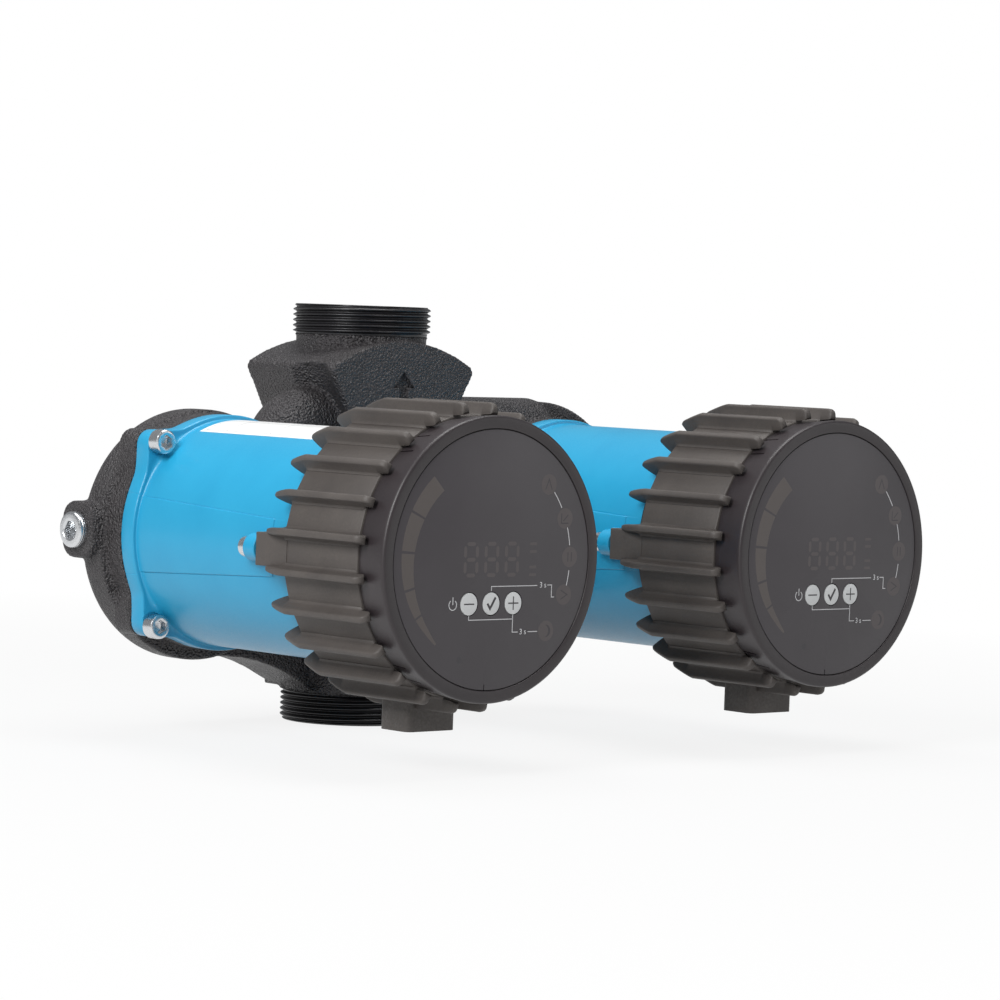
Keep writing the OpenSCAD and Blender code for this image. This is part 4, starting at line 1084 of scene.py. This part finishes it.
for side in ("left", "right"):
    place = head_place(side)

    shell = join_meshes("motor", [motor_shell()] + screw_lugs())
    add_piece(side + "_motor_shell", shell, MOTOR_BLUE, 40, place,
              node=side + "_motor_housing")

    fins = repeat("fins", fin_mesh(), RING_TREE, FIN_GREY, Count=FIN_COUNT,
                  First_Angle=math.radians(FIN_STEP / 2), Step_Angle=math.radians(FIN_STEP))
    housing = join_meshes("finned housing", [fins, barrel_shell(), socket_carrier()] + side_blocks())
    add_piece(side + "_finned_housing", housing, FIN_GREY, 40, place,
              node=side + "_electronics_housing")
    # The spigot takes the near-black seal rubber finish as painted shade in the gap between motor and barrel.
    add_piece(side + "_spigot", spigot_ring_painted_shade(), SEAL_RUBBER, 40, place)

    screws = repeat("screws", cap_screw(3.0, 17.0), CORNER_TREE, ZINC, Spread_U=2 * SCREW_OFFSET,
                    Spread_V=2 * SCREW_OFFSET, Columns=2, Rows=2)
    screws.transform(Matrix.Translation((0, 0, FLANGE_FRONT - 0.02)))
    add_piece(side + "_flange_cap_screws", screws, ZINC, 30, place,
              node=side + "_flange_screws")

    turned_screw = cap_screw(2.5, 16.0)
    turned_screw.transform(Matrix.Rotation(math.pi, 4, "X"))
    lug_screws = repeat("lug screws", turned_screw, CORNER_TREE, ZINC, Spread_U=2 * LUG_REACH, Spread_V=0.0,
                        Columns=2, Rows=1)
    lug_screws.transform(Matrix.Translation((0, 0, LUG_REAR)))
    add_piece(side + "_lug_screws", lug_screws, ZINC, 30, place, node=side + "_housing_screws")

    add_piece(side + "_cover_shell", cover_shell(), COVER_GREY, 38, place,
              node=side + "_front_cover")
    add_piece(side + "_panel_film", panel_shell(), PANEL_BLACK, 30, place,
              node=side + "_display_panel")
    for name, mesh, paint in (("white_print", white_print(), PRINT_WHITE),
                              ("bar_graph", bar_graph(), DIM_BAR), ("digits", dim_print(), DIM_DIGIT),
                              ("signs", sign_print(), PRINT_DARK)):
        add_piece(side + "_" + name, mesh, paint, 30, place)

    for kind, column in (("minus", -1), ("enter", 0), ("plus", 1)):
        key = side + "_" + kind
        key_place = place @ Matrix.Translation((column * KEY_PITCH, -KEY_DROP, 0))
        add_piece(key + "_cap", key_cap(), KEY_WHITE, 30, key_place, key + "_button",
                  key + "_key")
        add_piece(key + "_sign", key_sign(kind), PRINT_DARK, 30, key_place, key + "_button")

plugs = []
for side in (-1, 1):
    plug = plug_piece()
    turn = Matrix.Rotation(side * math.pi / 2, 4, "Y")
    plug.transform(Matrix.Translation((side * PLUG_X, PLUG_Y, AXIS_HEIGHT)) @ turn)
    plugs.append(plug)
add_piece("side_plugs", join_meshes("side plugs", plugs), ZINC, 30, PORT_PLACE,
          node="vent_plugs")

add_piece("label_film", label_film(), LABEL_FILM, 40, head_place("left"), node="rating_label")
rulings = [label_strip(a, a + 0.35, 39, 107) for a in (66.0, 71.0, 76.0, 84.0, 97.0, 113.5)]
rulings += [label_strip(66.0, 113.8, w, w + 0.3) for w in (39, 52, 80, 106.7)]
add_piece("label_ruling", join_meshes("ruling", rulings), LABEL_LINE, 40, head_place("left"))


# Stage, lights and camera

def make_floor():
    """White floor: glows for the camera and in mirrors, more so far out, and is pale grey otherwise."""
    size = 6.0
    mesh = new_mesh("floor", [(-size, -size, 0), (size, -size, 0), (size, size, 0), (-size, size, 0)],
                    [(0, 1, 2, 3)])
    material = bpy.data.materials.new("pale floor")
    material.use_nodes = True
    tree = material.node_tree
    tree.nodes.clear()
    out = tree.nodes.new("ShaderNodeOutputMaterial")
    mix = tree.nodes.new("ShaderNodeMixShader")
    diffuse = tree.nodes.new("ShaderNodeBsdfDiffuse")
    diffuse.inputs["Color"].default_value = (0.55, 0.55, 0.55, 1)
    glow = tree.nodes.new("ShaderNodeEmission")
    glow.inputs["Strength"].default_value = 1.0
    path = tree.nodes.new("ShaderNodeLightPath")
    place = tree.nodes.new("ShaderNodeTexCoord")
    length = tree.nodes.new("ShaderNodeVectorMath")
    length.operation = "LENGTH"
    mirrored = math_node(tree, "MAXIMUM", path.outputs["Is Glossy Ray"], path.outputs["Is Transmission Ray"])
    seen = math_node(tree, "MAXIMUM", path.outputs["Is Camera Ray"], mirrored)
    spread = map_node(tree, length.outputs["Value"], 0.25, 0.75, 0.86, 1.0)
    feed(tree, mix.inputs[0], math_node(tree, "MULTIPLY", seen, spread))
    wire(tree, (place, "Object", length, 0), (diffuse, 0, mix, 1), (glow, 0, mix, 2),
         (mix, 0, out, "Surface"))
    mesh.materials.append(material)
    new_object("floor", mesh)


def make_world():
    """White for the camera, a soft dim sky for the light."""
    world = bpy.data.worlds.new("studio")
    world.use_nodes = True
    tree = world.node_tree
    tree.nodes.clear()
    out = tree.nodes.new("ShaderNodeOutputWorld")
    mix = tree.nodes.new("ShaderNodeMixShader")
    path = tree.nodes.new("ShaderNodeLightPath")
    wire(tree, (path, "Is Camera Ray", mix, 0), (mix, 0, out, "Surface"))
    for index, color, strength in ((1, (0.95, 0.97, 1.0, 1), 0.3), (2, (1, 1, 1, 1), 1.0)):
        sky = tree.nodes.new("ShaderNodeBackground")
        sky.inputs["Color"].default_value = color
        sky.inputs["Strength"].default_value = strength
        wire(tree, (sky, 0, mix, index))
    bpy.context.scene.world = world


def make_light(name, place, aim, width, height, power):
    lamp = bpy.data.lights.new(name, "AREA")
    lamp.shape = "RECTANGLE"
    lamp.size = width
    lamp.size_y = height
    lamp.energy = power
    holder = new_object(name, lamp)
    holder.location = place
    holder.rotation_euler = (Vector(aim) - Vector(place)).to_track_quat("-Z", "Y").to_euler()


def make_camera():
    """The photograph's view, worked out from the pump's known sizes."""
    photo_width, focal_length, sensor = 1000, 4023.974, 36
    az, el, roll = math.radians(42.234), math.radians(2.521), math.radians(-2.081)
    place = Vector((-1.126735, -1.334298, 0.174713))
    forward = Vector((math.sin(az) * math.cos(el), math.cos(az) * math.cos(el), -math.sin(el)))
    right = Vector((math.cos(az), -math.sin(az), 0))
    up = right.cross(forward)
    side = math.cos(roll) * right - math.sin(roll) * up
    top = math.sin(roll) * right + math.cos(roll) * up
    data = bpy.data.cameras.new("camera")
    data.sensor_width = sensor
    data.lens = focal_length * sensor / photo_width
    data.clip_end = 50
    camera = new_object("camera", data)
    camera.matrix_world = Matrix(((side.x, top.x, -forward.x, place.x), (side.y, top.y, -forward.y, place.y),
                                  (side.z, top.z, -forward.z, place.z), (0, 0, 0, 1)))
    bpy.context.scene.camera = camera


make_floor()
make_world()
make_light("key light", (-1.35, -0.40, 0.95), (0, -0.1, 0.08), 0.7, 0.7, 24)
make_light("top light", (0.15, -0.05, 1.3), (0.05, -0.1, 0.08), 1.1, 0.6, 13)
make_light("front fill", (1.2, -1.3, 0.5), (0.05, -0.1, 0.08), 0.7, 0.7, 2.5)
make_camera()
bpy.context.scene.view_settings.view_transform = "Standard"
